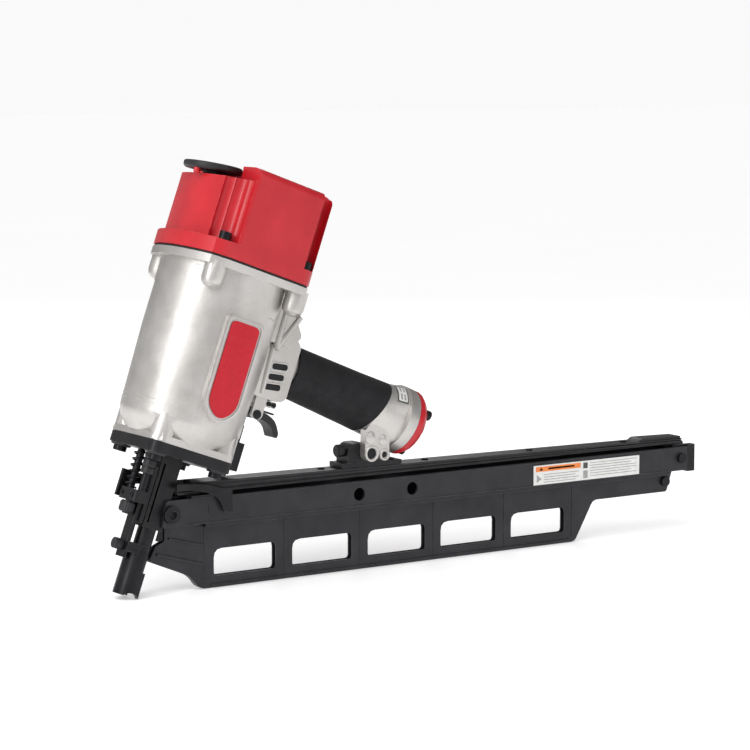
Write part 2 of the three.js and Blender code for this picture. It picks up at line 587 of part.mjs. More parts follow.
// ---------------------------------------------------------------- trigger and its valve
addPiece(driver, 'trigger', cut(join(
  sidePlate([
    [57, 163.2], [67, 163.2, 4], [77, 160, 5], [83, 151, 4], [82.5, 147.5, 1], [79.5, 147.5, 1],
    [75, 154.5, 5], [67, 157.5, 4], [57, 156.5],
  ], -6.8, 6.8, 6),
  rodAcross(3.3, -6.8, 6.8, TRIGGER_PIN.x, TRIGGER_PIN.z)),
  rodAcross(2.3, -8, 8, TRIGGER_PIN.x, TRIGGER_PIN.z, 12)), 'black');
addPiece(driver, 'trigger_pin', rodAcross(2, -10.6, 10.6, TRIGGER_PIN.x, TRIGGER_PIN.z, 12), 'steel');
addPiece(driver, 'contact_lever', box(49, 76.5, -3, 3, 163.6, 165), 'darkSteel');
addPiece(driver, 'trigger_valve_body', cut(
  join(box(54.5, 73.5, -7, 7, 168.2, 173), rod(6, 168.2, 184, PLUNGER_X, 0, 16)),
  rod(2.6, 166, 180, PLUNGER_X, 0, 12)), 'steel');
addPiece(driver, 'valve_plunger', rod(2.3, 166.2, 176, PLUNGER_X, 0, 12), 'brass');

// ---------------------------------------------------------------- handle, grip and end cap
function endBoltPlaces() {
  return [0, 1, 2].map((i) => {
    const angle = i * 120 * degrees;
    return [END_BOLT_CIRCLE * Math.cos(angle), END_BOLT_CIRCLE * Math.sin(angle)];
  });
}

addPiece(handle, 'handle_grip', cut(
  handleBody(0, GRIP_START, HANDLE_FLANGE_START),
  handleBody(GRIP_THICKNESS, -20, HANDLE_FLANGE_START + 5),
  behindGrip(0)), 'rubber');
addPiece(handle, 'end_cap', cut(
  turned([
    [0, END_CAP_START], [HANDLE_FLANGE_RADIUS, END_CAP_START], [HANDLE_FLANGE_RADIUS, END_CAP_START + 4.5],
    [HANDLE_FLANGE_RADIUS - 2.5, END_CAP_START + END_CAP_THICKNESS], [0, END_CAP_START + END_CAP_THICKNESS],
  ]),
  rod(6.5, 110, 130, 0, 0, 16),
  ...endBoltPlaces().map(([x, y]) => rod(2.8, 110, 130, x, y, 8))), 'red');
endBoltPlaces().forEach(([x, y], i) => {
  const bolt = socketBolt(4, 2.4, 108, 124.9, 129.3).translate(x, y, 0);
  addPiece(handle, `end_cap_bolt_${['lower', 'far', 'near'][i]}`, bolt, 'darkSteel');
});
addPiece(handle, 'air_inlet_plug', join(
  rod(6.2, 118, 126, 0, 0, 16), rod(9, 124.9, 129, 0, 0, 6), rod(8, 128.5, 136, 0, 0, 18)), 'black');

// ---------------------------------------------------------------- badges on the barrel
for (const [sideName, side] of SIDES) {
  const y0 = side < 0 ? -50.9 : 50.1;
  const badge = sidePlate(
    [[-11, 218.5, 5], [14, 218.5, 5], [14, 154, 11], [1.5, 144, 10], [-11, 154, 11]], y0, y0 + 0.8, 6);
  addPiece(driver, `side_badge_${sideName}`, badge, 'red');
}

// ---------------------------------------------------------------- magazine
function magazineBody() {
  const outer = sidePlate([
    [MAGAZINE_FRONT, BODY_BOTTOM, 2], [MAGAZINE_REAR, BODY_BOTTOM], [MAGAZINE_REAR, BODY_TOP],
    [MAGAZINE_FRONT + 4, BODY_TOP, 2],
  ], -BODY_HALF, BODY_HALF);
  return cut(outer,
    box(-80, 470, -BODY_INNER, BODY_INNER, BODY_BOTTOM + 2.7, 80),
    box(-80, 440, -FIN_GROOVE - 0.2, FIN_GROOVE + 0.2, 50, 60),
    box(-80, -36, -BODY_INNER, BODY_INNER, 40, 80),
    ...[127, 177].map((x) => rodAcross(5.2, -12, -7, x, 61, 20)),
    rodAcross(2.7, -12, 12, FRONT_BOLT.x, FRONT_BOLT.z, 12),
    rodAcross(2.3, -12, -7, REAR_BOLT.x, REAR_BOLT.z, 12));
}

function magazineFin() {
  const outer = sidePlate([
    [-42.5, BODY_BOTTOM - GAP], [-42.5, 40, 1.5], [-50, 36.5, 1], [-56, 25.5, 2], [-20, 10.5, 9], [-13, 0, 8],
    [346, 0, 4], [365, 33, 4], [444, 33, 2], [450, BODY_BOTTOM - GAP],
  ], -FIN_HALF, FIN_HALF);
  const joiningFlange = box(-10, 444, -BODY_INNER, BODY_INNER, BODY_BOTTOM - GAP - 3, BODY_BOTTOM - GAP);
  const groove = sidePlate([
    [-80, 60], [-80, 40], [-50, 26], [-17, 13.5], [-5, FIN_FLOOR], [343.5, FIN_FLOOR],
    [363.5, 33 + FIN_FLOOR], [438, 33 + FIN_FLOOR], [438, 60],
  ], -FIN_GROOVE, FIN_GROOVE);
  const slots = Array.from({ length: SLOT_COUNT }, (_, i) => sidePlate([
    [i * SLOT_PITCH, SLOT_BOTTOM, 3], [i * SLOT_PITCH + SLOT_LENGTH, SLOT_BOTTOM, 3],
    [i * SLOT_PITCH + SLOT_LENGTH, SLOT_TOP, 4], [i * SLOT_PITCH, SLOT_TOP, 7],
  ], -10, 10, 3));
  const boltHole = rodAcross(2.3, -12, 12, FIN_BOLT.x, FIN_BOLT.z, 12);
  return cut(join(outer, joiningFlange), groove, ...slots, boltHole);
}

function railTop(x) {
  const share = (x - RAIL_FRONT) / (RAIL_REAR - RAIL_FRONT);
  return RAIL_TOP_FRONT + share * (RAIL_TOP_REAR - RAIL_TOP_FRONT);
}

function topRail() {
  const bar = sidePlate([
    [RAIL_FRONT, RAIL_BOTTOM], [RAIL_REAR, RAIL_BOTTOM], [RAIL_REAR, RAIL_TOP_REAR],
    [RAIL_FRONT, RAIL_TOP_FRONT],
  ], -9, 9);
  const farLip = box(RAIL_FRONT, RAIL_REAR, 8.7, BODY_HALF, BODY_TOP + GAP, RAIL_BOTTOM + 3);
  return cut(join(bar, farLip),
    box(-60, 470, -4.4, 4.4, 70, 76.4),
    box(-60, 470, -12, -7.6, 76.6, 78));
}

addPiece(magazine, 'magazine_body', magazineBody(), 'blackPaint');
addPiece(magazine, 'magazine_fin', magazineFin(), 'blackPaint');
addPiece(magazine, 'magazine_rail', topRail(), 'black');
for (const [sideName, side] of SIDES) {
  const bolt = socketBolt(6.9, 2.4, -5.7, -0.2, 3).rotateX(Math.PI / 2);
  bolt.translate(FRONT_BOLT.x, -11.5, FRONT_BOLT.z);
  if (side > 0) bolt.rotateZ(Math.PI).translate(2 * FRONT_BOLT.x, 0, 0);
  addPiece(magazine, `magazine_front_bolt_${sideName}`, bolt, 'darkSteel');
}
addPiece(magazine, 'magazine_rear_stop', cut(join(
  box(MAGAZINE_REAR + GAP, 468, -BODY_HALF, BODY_HALF, 50, 73),
  box(446, MAGAZINE_REAR + 1, -BODY_INNER + GAP, BODY_INNER - GAP, BODY_BOTTOM + 3, 73)),
  box(440, 475, -4.4, 4.4, BODY_BOTTOM + 2.9, 75),
  rodAcross(2.3, -12, -4, REAR_BOLT.x, REAR_BOLT.z, 12)), 'black');
addPiece(magazine, 'rear_stop_bolt', join(
  rodAcross(2, -12, -5, REAR_BOLT.x, REAR_BOLT.z, 12),
  rodAcross(4.2, -14, -11.3, REAR_BOLT.x, REAR_BOLT.z, 20)), 'darkSteel');
addPiece(magazine, 'fin_bolt', join(
  rodAcross(2, -4, 5.5, FIN_BOLT.x, FIN_BOLT.z, 12),
  rodAcross(4.2, -6, -3.5, FIN_BOLT.x, FIN_BOLT.z, 20)), 'darkSteel');
addPiece(magazine, 'magazine_label', box(296.5, 407, -11.7, -11.3, 52.5, 68.5), 'label');

// Pusher, its outside finger tab and the rolled spring that pulls it forwards.
function pusher() {
  const block = cut(box(-26, 14, -8, 8, 56, 74.2), rodAcross(7.6, -9, 5, -6, 64, 20));
  const blade = sidePlate([[-48, 40], [-24, 40], [-12, 73, 1], [-36.5, 73, 1]], -1.6, 1.6);
  const exit = box(-25, 8, -14, -7.5, 72, 74);
  const tab = sidePlate([
    [-38, 79.5, 1], [-38, 84, 1], [-16, 82.5, 10], [9.4, 75.5, 4], [10.5, 58.5, 1.5], [3, 59.5, 1],
    [-2, 71, 6], [-16, 77.5, 8],
  ], -15, -12.9);
  return join(block, blade, exit, tab);
}

addPiece(magazine, 'pusher', pusher(), 'darkSteel');
const springRoll = ring(7, 3.4, -4.5, 4.5, 24).rotateX(Math.PI / 2).translate(-6, 0, 64);
addPiece(magazine, 'pusher_spring', springRoll, 'steel');

// ---------------------------------------------------------------- bracket from handle to magazine
function bracket() {
  const foot = sidePlate([
    [112, railTop(112) + GAP], [168, railTop(168) + GAP], [168, 85], [112, 86],
  ], -9, 9);
  const block = sidePlate([
    [118, 84], [118, 96, 3], [124, 101, 3], [135, 100.5, 3], [152, 91.5, 2], [152, 84],
  ], -8.4, 8.4);
  return cut(join(foot, block),
    rodAcross(3.2, -12, 12, BRACKET_BOLT.x, BRACKET_BOLT.z, 16),
    rodAlong(2.3, 110, 126, 0, 95, 12));
}

addPiece(magazine, 'magazine_bracket', bracket(), 'black');
addPiece(magazine, 'bracket_bolt', join(
  rodAcross(2.9, -13, 12.6, BRACKET_BOLT.x, BRACKET_BOLT.z, 16),
  rodAcross(4, -15.6, -12.7, BRACKET_BOLT.x, BRACKET_BOLT.z, 20)), 'darkSteel');
addPiece(magazine, 'bracket_nut', cut(
  rodAcross(5.6, 8.7, 12, BRACKET_BOLT.x, BRACKET_BOLT.z, 6),
  rodAcross(3.2, 8, 13, BRACKET_BOLT.x, BRACKET_BOLT.z, 16)), 'darkSteel');
addPiece(magazine, 'bracket_buffer', join(
  rodAlong(2, 117, 125, 0, 95, 12), rodAlong(5, 112.6, 117.7, 0, 95, 20)), 'rubber');

// ---------------------------------------------------------------- origin: centre of the base
tool.updateMatrixWorld(true);
const bounds = new THREE.Box3().setFromObject(tool, true);
const centre = bounds.getCenter(new THREE.Vector3());
tool.position.set(-centre.x, -centre.y, -bounds.min.z);
tool.updateMatrixWorld(true);

export default tool;
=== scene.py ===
"""Looks of a pneumatic framing nailer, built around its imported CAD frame.

Metres, +Z up, the magazine along X, the near side towards -Y.
"""
import json
import math

import bmesh
import bpy
from mathutils import Matrix, Vector


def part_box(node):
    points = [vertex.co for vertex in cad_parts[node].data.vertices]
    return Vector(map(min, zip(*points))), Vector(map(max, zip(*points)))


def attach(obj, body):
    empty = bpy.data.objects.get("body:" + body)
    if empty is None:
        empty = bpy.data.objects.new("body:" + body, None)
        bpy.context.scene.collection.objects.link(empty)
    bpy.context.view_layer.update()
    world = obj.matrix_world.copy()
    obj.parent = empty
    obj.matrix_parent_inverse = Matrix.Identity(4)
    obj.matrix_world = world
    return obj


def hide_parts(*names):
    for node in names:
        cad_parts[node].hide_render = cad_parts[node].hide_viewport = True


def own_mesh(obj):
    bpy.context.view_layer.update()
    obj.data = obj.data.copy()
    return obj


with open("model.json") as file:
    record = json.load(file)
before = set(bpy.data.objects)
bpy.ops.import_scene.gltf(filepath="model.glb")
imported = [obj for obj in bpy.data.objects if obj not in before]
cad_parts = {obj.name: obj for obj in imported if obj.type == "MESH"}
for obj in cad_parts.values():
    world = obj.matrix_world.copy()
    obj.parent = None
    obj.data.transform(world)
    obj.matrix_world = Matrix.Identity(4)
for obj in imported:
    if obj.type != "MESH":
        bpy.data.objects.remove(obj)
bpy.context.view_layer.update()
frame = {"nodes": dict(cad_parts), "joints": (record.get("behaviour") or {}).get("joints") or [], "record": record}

MM = 0.001
SIDES = (("near", -1), ("far", 1))
BODY = "body"

# ---------------------------------------------------------------- places, all from the frame
JOINTS = {joint["name"]: joint for joint in frame["joints"]}


def middle(node):
    low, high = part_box(node)
    return (low + high) / 2


def axes_matrix(origin, x_axis, z_axis):
    """Frame with the given origin, x and z directions."""
    x_axis, z_axis = Vector(x_axis).normalized(), Vector(z_axis).normalized()
    y_axis = z_axis.cross(x_axis)
    rows = Matrix((x_axis, y_axis, z_axis)).transposed()
    return Matrix.Translation(origin) @ rows.to_4x4()


# Driver frame: z up the barrel from its foot point, x to the rear.
BARREL_UP = -Vector(JOINTS["driver_stroke"]["axis"])
SLEEVE_MIDDLE = 190.75 * MM
BARREL_REAR = Vector((BARREL_UP.z, 0, -BARREL_UP.x))
DRIVER = axes_matrix(middle("cylinder_sleeve") - BARREL_UP * SLEEVE_MIDDLE, BARREL_REAR, BARREL_UP)
# Handle frame: z along the handle, x down.
HANDLE_START = Vector((76, 0, 200)) * MM
HANDLE_DROP = math.radians(4.05)
HANDLE = DRIVER @ Matrix.Translation(HANDLE_START) @ Matrix.Rotation(math.pi / 2 + HANDLE_DROP, 4, "Y")
# Magazine frame: x from the first window's front edge, z from the bottom edge.
MAGAZINE_FRONT = -48.8 * MM
MAGAZINE = Matrix.Translation((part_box("magazine_body")[0].x - MAGAZINE_FRONT, 0, 0))
# Deflector frame: z along its turning axis.
DEFLECTOR = axes_matrix(JOINTS["deflector_turn"]["pos_m"], BARREL_REAR, JOINTS["deflector_turn"]["axis"])


# ---------------------------------------------------------------- materials
# Sizes and depths in mm, colours in linear red, green and blue.
# The middle part of a noise's range, which a ramp stretches to a full change.
NOISE_NARROW = (0.35, 0.65)
NOISE_WIDE = (0.3, 0.7)
NOISE_DETAIL = 3.0
NOISE_ROUGHNESS = 0.55
PEBBLE_SIZE = 1.5
BRUSH_SIZE = 1.8
BRUSH_STRETCH = (1, 1, 14)


class Nodes:
    """A material's node tree, with short calls for the nodes used here."""

    def __init__(self, name, roughness, metallic=0.0, coat=0.0, coat_roughness=0.1, specular=0.5):
        self.material = bpy.data.materials.new(name)
        self.material.use_nodes = True
        self.tree = self.material.node_tree
        self.shader = self.tree.nodes["Principled BSDF"]
        self.set(self.shader, {
            "Roughness": roughness, "Metallic": metallic, "Coat Weight": coat,
            "Coat Roughness": coat_roughness, "Specular IOR Level": specular})
        self.place = self.add("ShaderNodeTexCoord").outputs["Object"]

    @staticmethod
    def set(node, values):
        for key, value in values.items():
            node.inputs[key].default_value = value

    def add(self, kind, values=None, **settings):
        node = self.tree.nodes.new(kind)
        for key, value in settings.items():
            setattr(node, key, value)
        self.set(node, values or {})
        return node

    def link(self, source, target):
        self.tree.links.new(source, target)

    def noise(self, size_mm, detail=NOISE_DETAIL):
        node = self.add("ShaderNodeTexNoise", {
            "Scale": 1 / (size_mm * MM), "Detail": detail, "Roughness": NOISE_ROUGHNESS})
        self.link(self.place, node.inputs["Vector"])
        return node.outputs["Fac"]

    def ramp(self, source, low, high, start=0.0, end=1.0):
        node = self.add("ShaderNodeMapRange", {
            "From Min": low, "From Max": high, "To Min": start, "To Max": end})
        self.link(source, node.inputs["Value"])
        return node.outputs["Result"]

    def math(self, operation, first, second):
        node = self.add("ShaderNodeMath", operation=operation)
        for socket, value in zip(node.inputs, (first, second)):
            if isinstance(value, float):
                socket.default_value = value
            else:
                self.link(value, socket)
        return node.outputs["Value"]

    def mix(self, factor, first, second):
        node = self.add("ShaderNodeMix", data_type="RGBA")
        self.link(factor, node.inputs[0])
        for socket, value in zip((node.inputs[6], node.inputs[7]), (first, second)):
            if isinstance(value, tuple):
                socket.default_value = (*value, 1)
            else:
                self.link(value, socket)
        return node.outputs[2]

    def edges(self, radius_mm, low, high):
        """Mask of the outer edges, from how far the rounded normal leans off the true one."""
        bevel = self.add("ShaderNodeBevel", {"Radius": radius_mm * MM}, samples=4)
        normal = self.add("ShaderNodeNewGeometry").outputs["Normal"]
        lean = self.add("ShaderNodeVectorMath", operation="DOT_PRODUCT")
        self.link(bevel.outputs["Normal"], lean.inputs[0])
        self.link(normal, lean.inputs[1])
        return self.ramp(lean.outputs["Value"], high, low)

    def bump(self, *layers):
        """Bump from (height, strength, depth in mm) layers."""
        normal = None
        for height, strength, depth in layers:
            node = self.add("ShaderNodeBump", {"Strength": strength, "Distance": depth * MM})
            self.link(height, node.inputs["Height"])
            if normal is not None:
                self.link(normal, node.inputs["Normal"])
            normal = node.outputs["Normal"]
        self.link(normal, self.shader.inputs["Normal"])

    def colour(self, source):
        self.link(source, self.shader.inputs["Base Color"])

    def clouded(self, cloud, first, second):
        """Two colours that change over in soft clouds."""
        return self.mix(self.ramp(cloud, *NOISE_NARROW), first, second)

    def worn_edges(self, radius_mm, lean, patch_mm, patch_range):
        """Mask of the outer edges, broken up into patches."""
        edges = self.edges(radius_mm, *lean)
        return self.math("MULTIPLY", edges, self.ramp(self.noise(patch_mm), *patch_range))

    def uneven_roughness(self, size_mm, low, high):
        source = self.ramp(self.noise(size_mm), *NOISE_WIDE, low, high)
        self.link(source, self.shader.inputs["Roughness"])


def cast_aluminium():
    """Bare blasted casting: cloudy silver, darker specks, edges rubbed bright."""
    nodes = Nodes("cast_aluminium", 0.4, metallic=0.85, specular=0.5)
    cloud = nodes.noise(38, detail=4)
    grain = nodes.noise(0.9, detail=2)
    silver = nodes.clouded(cloud, (0.53, 0.51, 0.49), (0.64, 0.62, 0.60))
    speckled = nodes.mix(nodes.ramp(grain, 0.62, 0.75), silver, (0.40, 0.38, 0.365))
    worn = nodes.worn_edges(0.9, (0.55, 0.97), 7, (0.4, 0.6))
    nodes.colour(nodes.mix(worn, speckled, (0.78, 0.77, 0.75)))
    nodes.uneven_roughness(14, 0.34, 0.46)
    nodes.bump((grain, 0.35, 0.12), (nodes.noise(5), 0.25, 0.35))
    return nodes.material


def red_paint():
    """Painted casting: cloudy red, a little dust, paler edges."""
    nodes = Nodes("red_paint", 0.36, coat=0.3, coat_roughness=0.2, specular=0.4)
    base = nodes.clouded(nodes.noise(30), (0.48, 0.008, 0.016), (0.57, 0.014, 0.024))
    dust = nodes.ramp(nodes.noise(1.6), 0.66, 0.78)
    dusty = nodes.mix(nodes.math("MULTIPLY", dust, 0.35), base, (0.66, 0.12, 0.11))
    worn = nodes.worn_edges(0.8, (0.55, 0.95), 5, (0.48, 0.62))
    nodes.colour(nodes.mix(worn, dusty, (0.74, 0.16, 0.15)))
    nodes.uneven_roughness(9, 0.3, 0.42)
    nodes.bump((nodes.noise(1.1), 0.22, 0.12), (nodes.noise(4), 0.15, 0.2))
    return nodes.material


def black_finish(name, dark, light, edge, roughness, grain_mm, depth, metallic=0.0):
    """Black surfaces: a mottled colour, a fine grain and edges rubbed to a lighter grey."""
    nodes = Nodes(name, roughness, metallic=metallic, specular=0.5)
    cloud = nodes.noise(26, detail=4)
    grain = nodes.noise(grain_mm, detail=2)
    base = nodes.clouded(cloud, dark, light)
    rub = nodes.worn_edges(0.8, (0.5, 0.96), 6, (0.38, 0.62))
    nodes.colour(nodes.mix(rub, base, edge))
    nodes.uneven_roughness(8, roughness - 0.06, roughness + 0.07)
    nodes.bump((grain, 0.5, depth), (nodes.noise(grain_mm * 6), 0.3, depth * 2))
    return nodes.material


def grip_rubber():
    """Dull rubber with raised pebbles."""
    nodes = Nodes("grip_rubber", 0.78, specular=0.35)
    pebbles = nodes.add("ShaderNodeTexVoronoi", {"Scale": 1 / (PEBBLE_SIZE * MM)})
    nodes.link(nodes.place, pebbles.inputs["Vector"])
    height = nodes.ramp(pebbles.outputs["Distance"], 0.0, 0.7, 1.0, 0.0)
    base = nodes.clouded(nodes.noise(22), (0.0075, 0.0075, 0.009), (0.013, 0.013, 0.015))
    nodes.colour(nodes.mix(nodes.math("MULTIPLY", height, 0.4), base, (0.022, 0.022, 0.024)))
    nodes.uneven_roughness(9, 0.7, 0.88)
    nodes.bump((height, 0.6, 0.25), (nodes.noise(0.5), 0.3, 0.08))
    return nodes.material


def machined(name, dark, light, roughness):
    """Bare turned metal: fine brushed rings and a little staining."""
    nodes = Nodes(name, roughness, metallic=1.0)
    stretch = nodes.add("ShaderNodeMapping", {"Scale": BRUSH_STRETCH})
    nodes.link(nodes.place, stretch.inputs["Vector"])
    brush = nodes.add("ShaderNodeTexNoise", {"Scale": 1 / (BRUSH_SIZE * MM), "Detail": NOISE_DETAIL})
    nodes.link(stretch.outputs["Vector"], brush.inputs["Vector"])
    nodes.colour(nodes.clouded(nodes.noise(12), dark, light))
    sheen = nodes.ramp(brush.outputs["Fac"], *NOISE_WIDE, roughness - 0.08, roughness + 0.1)
    nodes.link(sheen, nodes.shader.inputs["Roughness"])
    nodes.bump((brush.outputs["Fac"], 0.3, 0.05))
    return nodes.material


def printed(name, colour, faded):
    """Printed sticker film: slightly uneven ink under a satin film."""
    nodes = Nodes(name, 0.45, coat=0.25, coat_roughness=0.3)
    nodes.colour(nodes.clouded(nodes.noise(6), colour, faded))
    nodes.uneven_roughness(3, 0.38, 0.52)
    nodes.bump((nodes.noise(2.5), 0.15, 0.05))
    return nodes.material


def badge_film():
    """Smooth red film, a little glossier than the paint."""
    nodes = Nodes("badge_red", 0.3, coat=0.2, coat_roughness=0.2, specular=0.3)
    nodes.colour(nodes.clouded(nodes.noise(18), (0.50, 0.001, 0.012), (0.56, 0.003, 0.018)))
    nodes.uneven_roughness(5, 0.2, 0.32)
    nodes.bump((nodes.noise(6), 0.12, 0.15))
    return nodes.material


MATERIALS = {
    "cast_aluminium": cast_aluminium(),
    "red_paint": red_paint(),
    "black_plastic": black_finish(
        "black_plastic", dark=(0.009, 0.009, 0.011), light=(0.015, 0.015, 0.018),
        edge=(0.07, 0.07, 0.075), roughness=0.48, grain_mm=0.8, depth=0.12),
    "black_steel": black_finish(
        "black_steel", dark=(0.010, 0.010, 0.012), light=(0.018, 0.018, 0.020),
        edge=(0.14, 0.135, 0.13), roughness=0.4, grain_mm=0.6, depth=0.06, metallic=0.5),
    "black_alloy": black_finish(
        "black_alloy", dark=(0.017, 0.017, 0.021), light=(0.027, 0.027, 0.032),
        edge=(0.11, 0.11, 0.115), roughness=0.42, grain_mm=0.7, depth=0.07, metallic=0.3),
    "grip_rubber": grip_rubber(),
    "seal_rubber": black_finish(
        "seal_rubber", dark=(0.010, 0.010, 0.010), light=(0.018, 0.018, 0.018),
        edge=(0.035, 0.035, 0.035), roughness=0.66, grain_mm=0.7, depth=0.1),
    "steel": machined("steel", (0.48, 0.47, 0.46), (0.62, 0.61, 0.60), 0.3),
    "dark_steel": black_finish(
        "dark_steel", dark=(0.012, 0.012, 0.014), light=(0.022, 0.022, 0.025),
        edge=(0.20, 0.195, 0.19), roughness=0.34, grain_mm=0.6, depth=0.05, metallic=0.7),
    "brass": machined("brass", (0.50, 0.34, 0.13), (0.62, 0.44, 0.19), 0.32),
    "label": printed("label", (0.74, 0.74, 0.72), (0.82, 0.82, 0.80)),
    "badge_red": badge_film(),
}
PRINTS = {
    "orange": printed("print_orange", (0.80, 0.20, 0.035), (0.86, 0.25, 0.05)),
    "grey": printed("print_grey", (0.30, 0.30, 0.30), (0.38, 0.38, 0.38)),
    "dark": printed("print_dark", (0.05, 0.05, 0.05), (0.08, 0.08, 0.08)),
}


# ---------------------------------------------------------------- finishing every surface
SMOOTH_ANGLE = math.radians(32)
BEVEL_ANGLE = math.radians(38)
FLAT_ANGLE = math.radians(1)
WELD_DISTANCE = 0.00001


def smooth_group():
    """Geometry nodes that shade smooth across every edge flatter than SMOOTH_ANGLE."""
    group = bpy.data.node_groups.new("smooth_by_angle", "GeometryNodeTree")
    for direction in ("INPUT", "OUTPUT"):
        group.interface.new_socket("Geometry", in_out=direction, socket_type="NodeSocketGeometry")
    start = group.nodes.new("NodeGroupInput")
    end = group.nodes.new("NodeGroupOutput")
    angle = group.nodes.new("GeometryNodeInputMeshEdgeAngle")
    flat = group.nodes.new("FunctionNodeCompare")
    flat.data_type, flat.operation = "FLOAT", "LESS_THAN"
    flat.inputs[1].default_value = SMOOTH_ANGLE
    faces = group.nodes.new("GeometryNodeSetShadeSmooth")
    edges = group.nodes.new("GeometryNodeSetShadeSmooth")
    edges.domain = "EDGE"
    links = group.links
    links.new(start.outputs[0], faces.inputs["Geometry"])
    links.new(faces.outputs[0], edges.inputs["Geometry"])
    links.new(angle.outputs["Unsigned Angle"], flat.inputs[0])
    links.new(flat.outputs["Result"], edges.inputs["Shade Smooth"])
    links.new(edges.outputs[0], end.inputs[0])
    return group


SMOOTH = smooth_group()


def finish_surface(obj, bevel_mm, welded=False):
    """Rounds the edges by bevel_mm and shades by angle, all in modifiers."""
    if welded:
        obj.modifiers.new("weld", "WELD").merge_threshold = WELD_DISTANCE
        dissolve = obj.modifiers.new("flats", "DECIMATE")
        dissolve.decimate_type = "DISSOLVE"
        dissolve.angle_limit = FLAT_ANGLE
    if bevel_mm:
        bevel = obj.modifiers.new("edges", "BEVEL")
        bevel.width = bevel_mm * MM
        bevel.segments = 2
        bevel.limit_method = "ANGLE"
        bevel.angle_limit = BEVEL_ANGLE
        bevel.miter_outer = "MITER_ARC"
    obj.modifiers.new("smooth", "NODES").node_group = SMOOTH
    weighted = obj.modifiers.new("weighted", "WEIGHTED_NORMAL")
    weighted.keep_sharp = True


def paint(obj, material):
    obj.data.materials.clear()
    obj.data.materials.append(material)


# Edge rounding of the CAD pieces in mm; the rest take the default.
NODE_BEVELS = {
    "main_housing": 0.9, "cylinder_cap": 0.9, "end_cap": 0.8, "nose_body": 0.7, "exhaust_deflector": 0.5,
    "magazine_body": 0.7, "magazine_fin": 0.6, "magazine_rail": 0.4, "magazine_bracket": 0.7,
    "handle_grip": 0.7, "contact_tip": 0.5, "safety_carriage": 0.6, "nose_cover": 0.5, "safety_arm": 0.4,
    "trigger": 0.6, "magazine_rear_stop": 0.8, "side_badge_near": 0.25, "side_badge_far": 0.25,
    "magazine_label": 0.05, "safety_spring": 0, "head_valve_spring": 0, "cap_gasket": 0.2,
}
DEFAULT_BEVEL = 0.35
for row in frame["record"]["subparts"]:
    cad_node = frame["nodes"][row["node"]]
    paint(cad_node, MATERIALS[row["material_slot"]])
    finish_surface(cad_node, NODE_BEVELS.get(row["node"], DEFAULT_BEVEL), welded=True)


# ---------------------------------------------------------------- mesh makers
def piece(name, bm, matrix, slot, body=BODY, bevel=0.3, material=None):
    """Turns a bmesh drawn in mm into a finished piece on a body."""
    bmesh.ops.recalc_face_normals(bm, faces=bm.faces)
    mesh = bpy.data.meshes.new(name)
    bm.to_mesh(mesh)
    bm.free()
    mesh.transform(matrix @ Matrix.Scale(MM, 4))
    obj = bpy.data.objects.new(name, mesh)
    bpy.context.scene.collection.objects.link(obj)
    paint(obj, material or MATERIALS[slot])
    finish_surface(obj, bevel)
    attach(obj, body)
    return obj


# The most of a side that one rounded corner may take.
CORNER_SHARE = 0.48


def rounded(points, steps=5):
    """Closed outline from (x, y) or (x, y, corner radius) points, the rounded corners as curves."""
    result = []
    for i, (x, y, *rest) in enumerate(points):
        corner = Vector((x, y))
        radius = rest[0] if rest else 0
        if not radius:
            result.append(corner)
            continue
        before = Vector(points[i - 1][:2]) - corner
        after = Vector(points[(i + 1) % len(points)][:2]) - corner
        reach = min(radius, CORNER_SHARE * before.length, CORNER_SHARE * after.length)
        start = corner + before.normalized() * reach
        end = corner + after.normalized() * reach
        for step in range(steps + 1):
            t = step / steps
            result.append(start * (1 - t) ** 2 + corner * 2 * t * (1 - t) + end * t * t)
    return result


def prism(bm, points, low, high, plane="xy"):
    """Solid from an outline: plane xy fills z from low to high, plane xz fills y."""
    place = {
        "xy": lambda p, h: (p.x, p.y, h),
        "xz": lambda p, h: (p.x, h, p.y)}[plane]
    bottom = [bm.verts.new(place(p, low)) for p in points]
    top = [bm.verts.new(place(p, high)) for p in points]
    bm.faces.new(bottom[::-1])
    bm.faces.new(top)
    count = len(points)
    for i in range(count):
        j = (i + 1) % count
        bm.faces.new((bottom[i], bottom[j], top[j], top[i]))
    return bm


def frame_prism(bm, outer, inner, low, high):
    """Solid rim from y low to high between two side view outlines with the same number of points."""
    rings = [[bm.verts.new((p.x, h, p.y)) for p in outline]
             for outline, h in ((outer, low), (outer, high), (inner, high), (inner, low))]
    count = len(outer)
    for a, b in zip(rings, rings[1:] + rings[:1]):
        for i in range(count):
            j = (i + 1) % count
            bm.faces.new((a[i], a[j], b[j], b[i]))
    return bm


def lathe(bm, profile, segments=32, radius_at=None):
    """Turned solid around z from (radius, height) points; radius_at reshapes a ring, say to a hexagon."""
    rings = []
    for k, (radius, height) in enumerate(profile):
        if radius == 0:
            rings.append([bm.verts.new((0, 0, height))])
            continue
        ring = []
        for i in range(segments):
            angle = 2 * math.pi * i / segments
            reach = radius * (radius_at(k, angle) if radius_at else 1)
            ring.append(bm.verts.new((reach * math.cos(angle), reach * math.sin(angle), height)))
        rings.append(ring)
    for a, b in zip(rings, rings[1:]):
        for i in range(segments):
            j = (i + 1) % segments
            corners = [a[i % len(a)], a[j % len(a)], b[j % len(b)], b[i % len(b)]]
            unique = list(dict.fromkeys(corners))
            if len(unique) > 2:
                bm.faces.new(unique)
    return bm


def hexagon(angle):
    """Reach of a hexagon of inner radius 1 at an angle."""
    return 1 / math.cos((angle % (math.pi / 3)) - math.pi / 6)


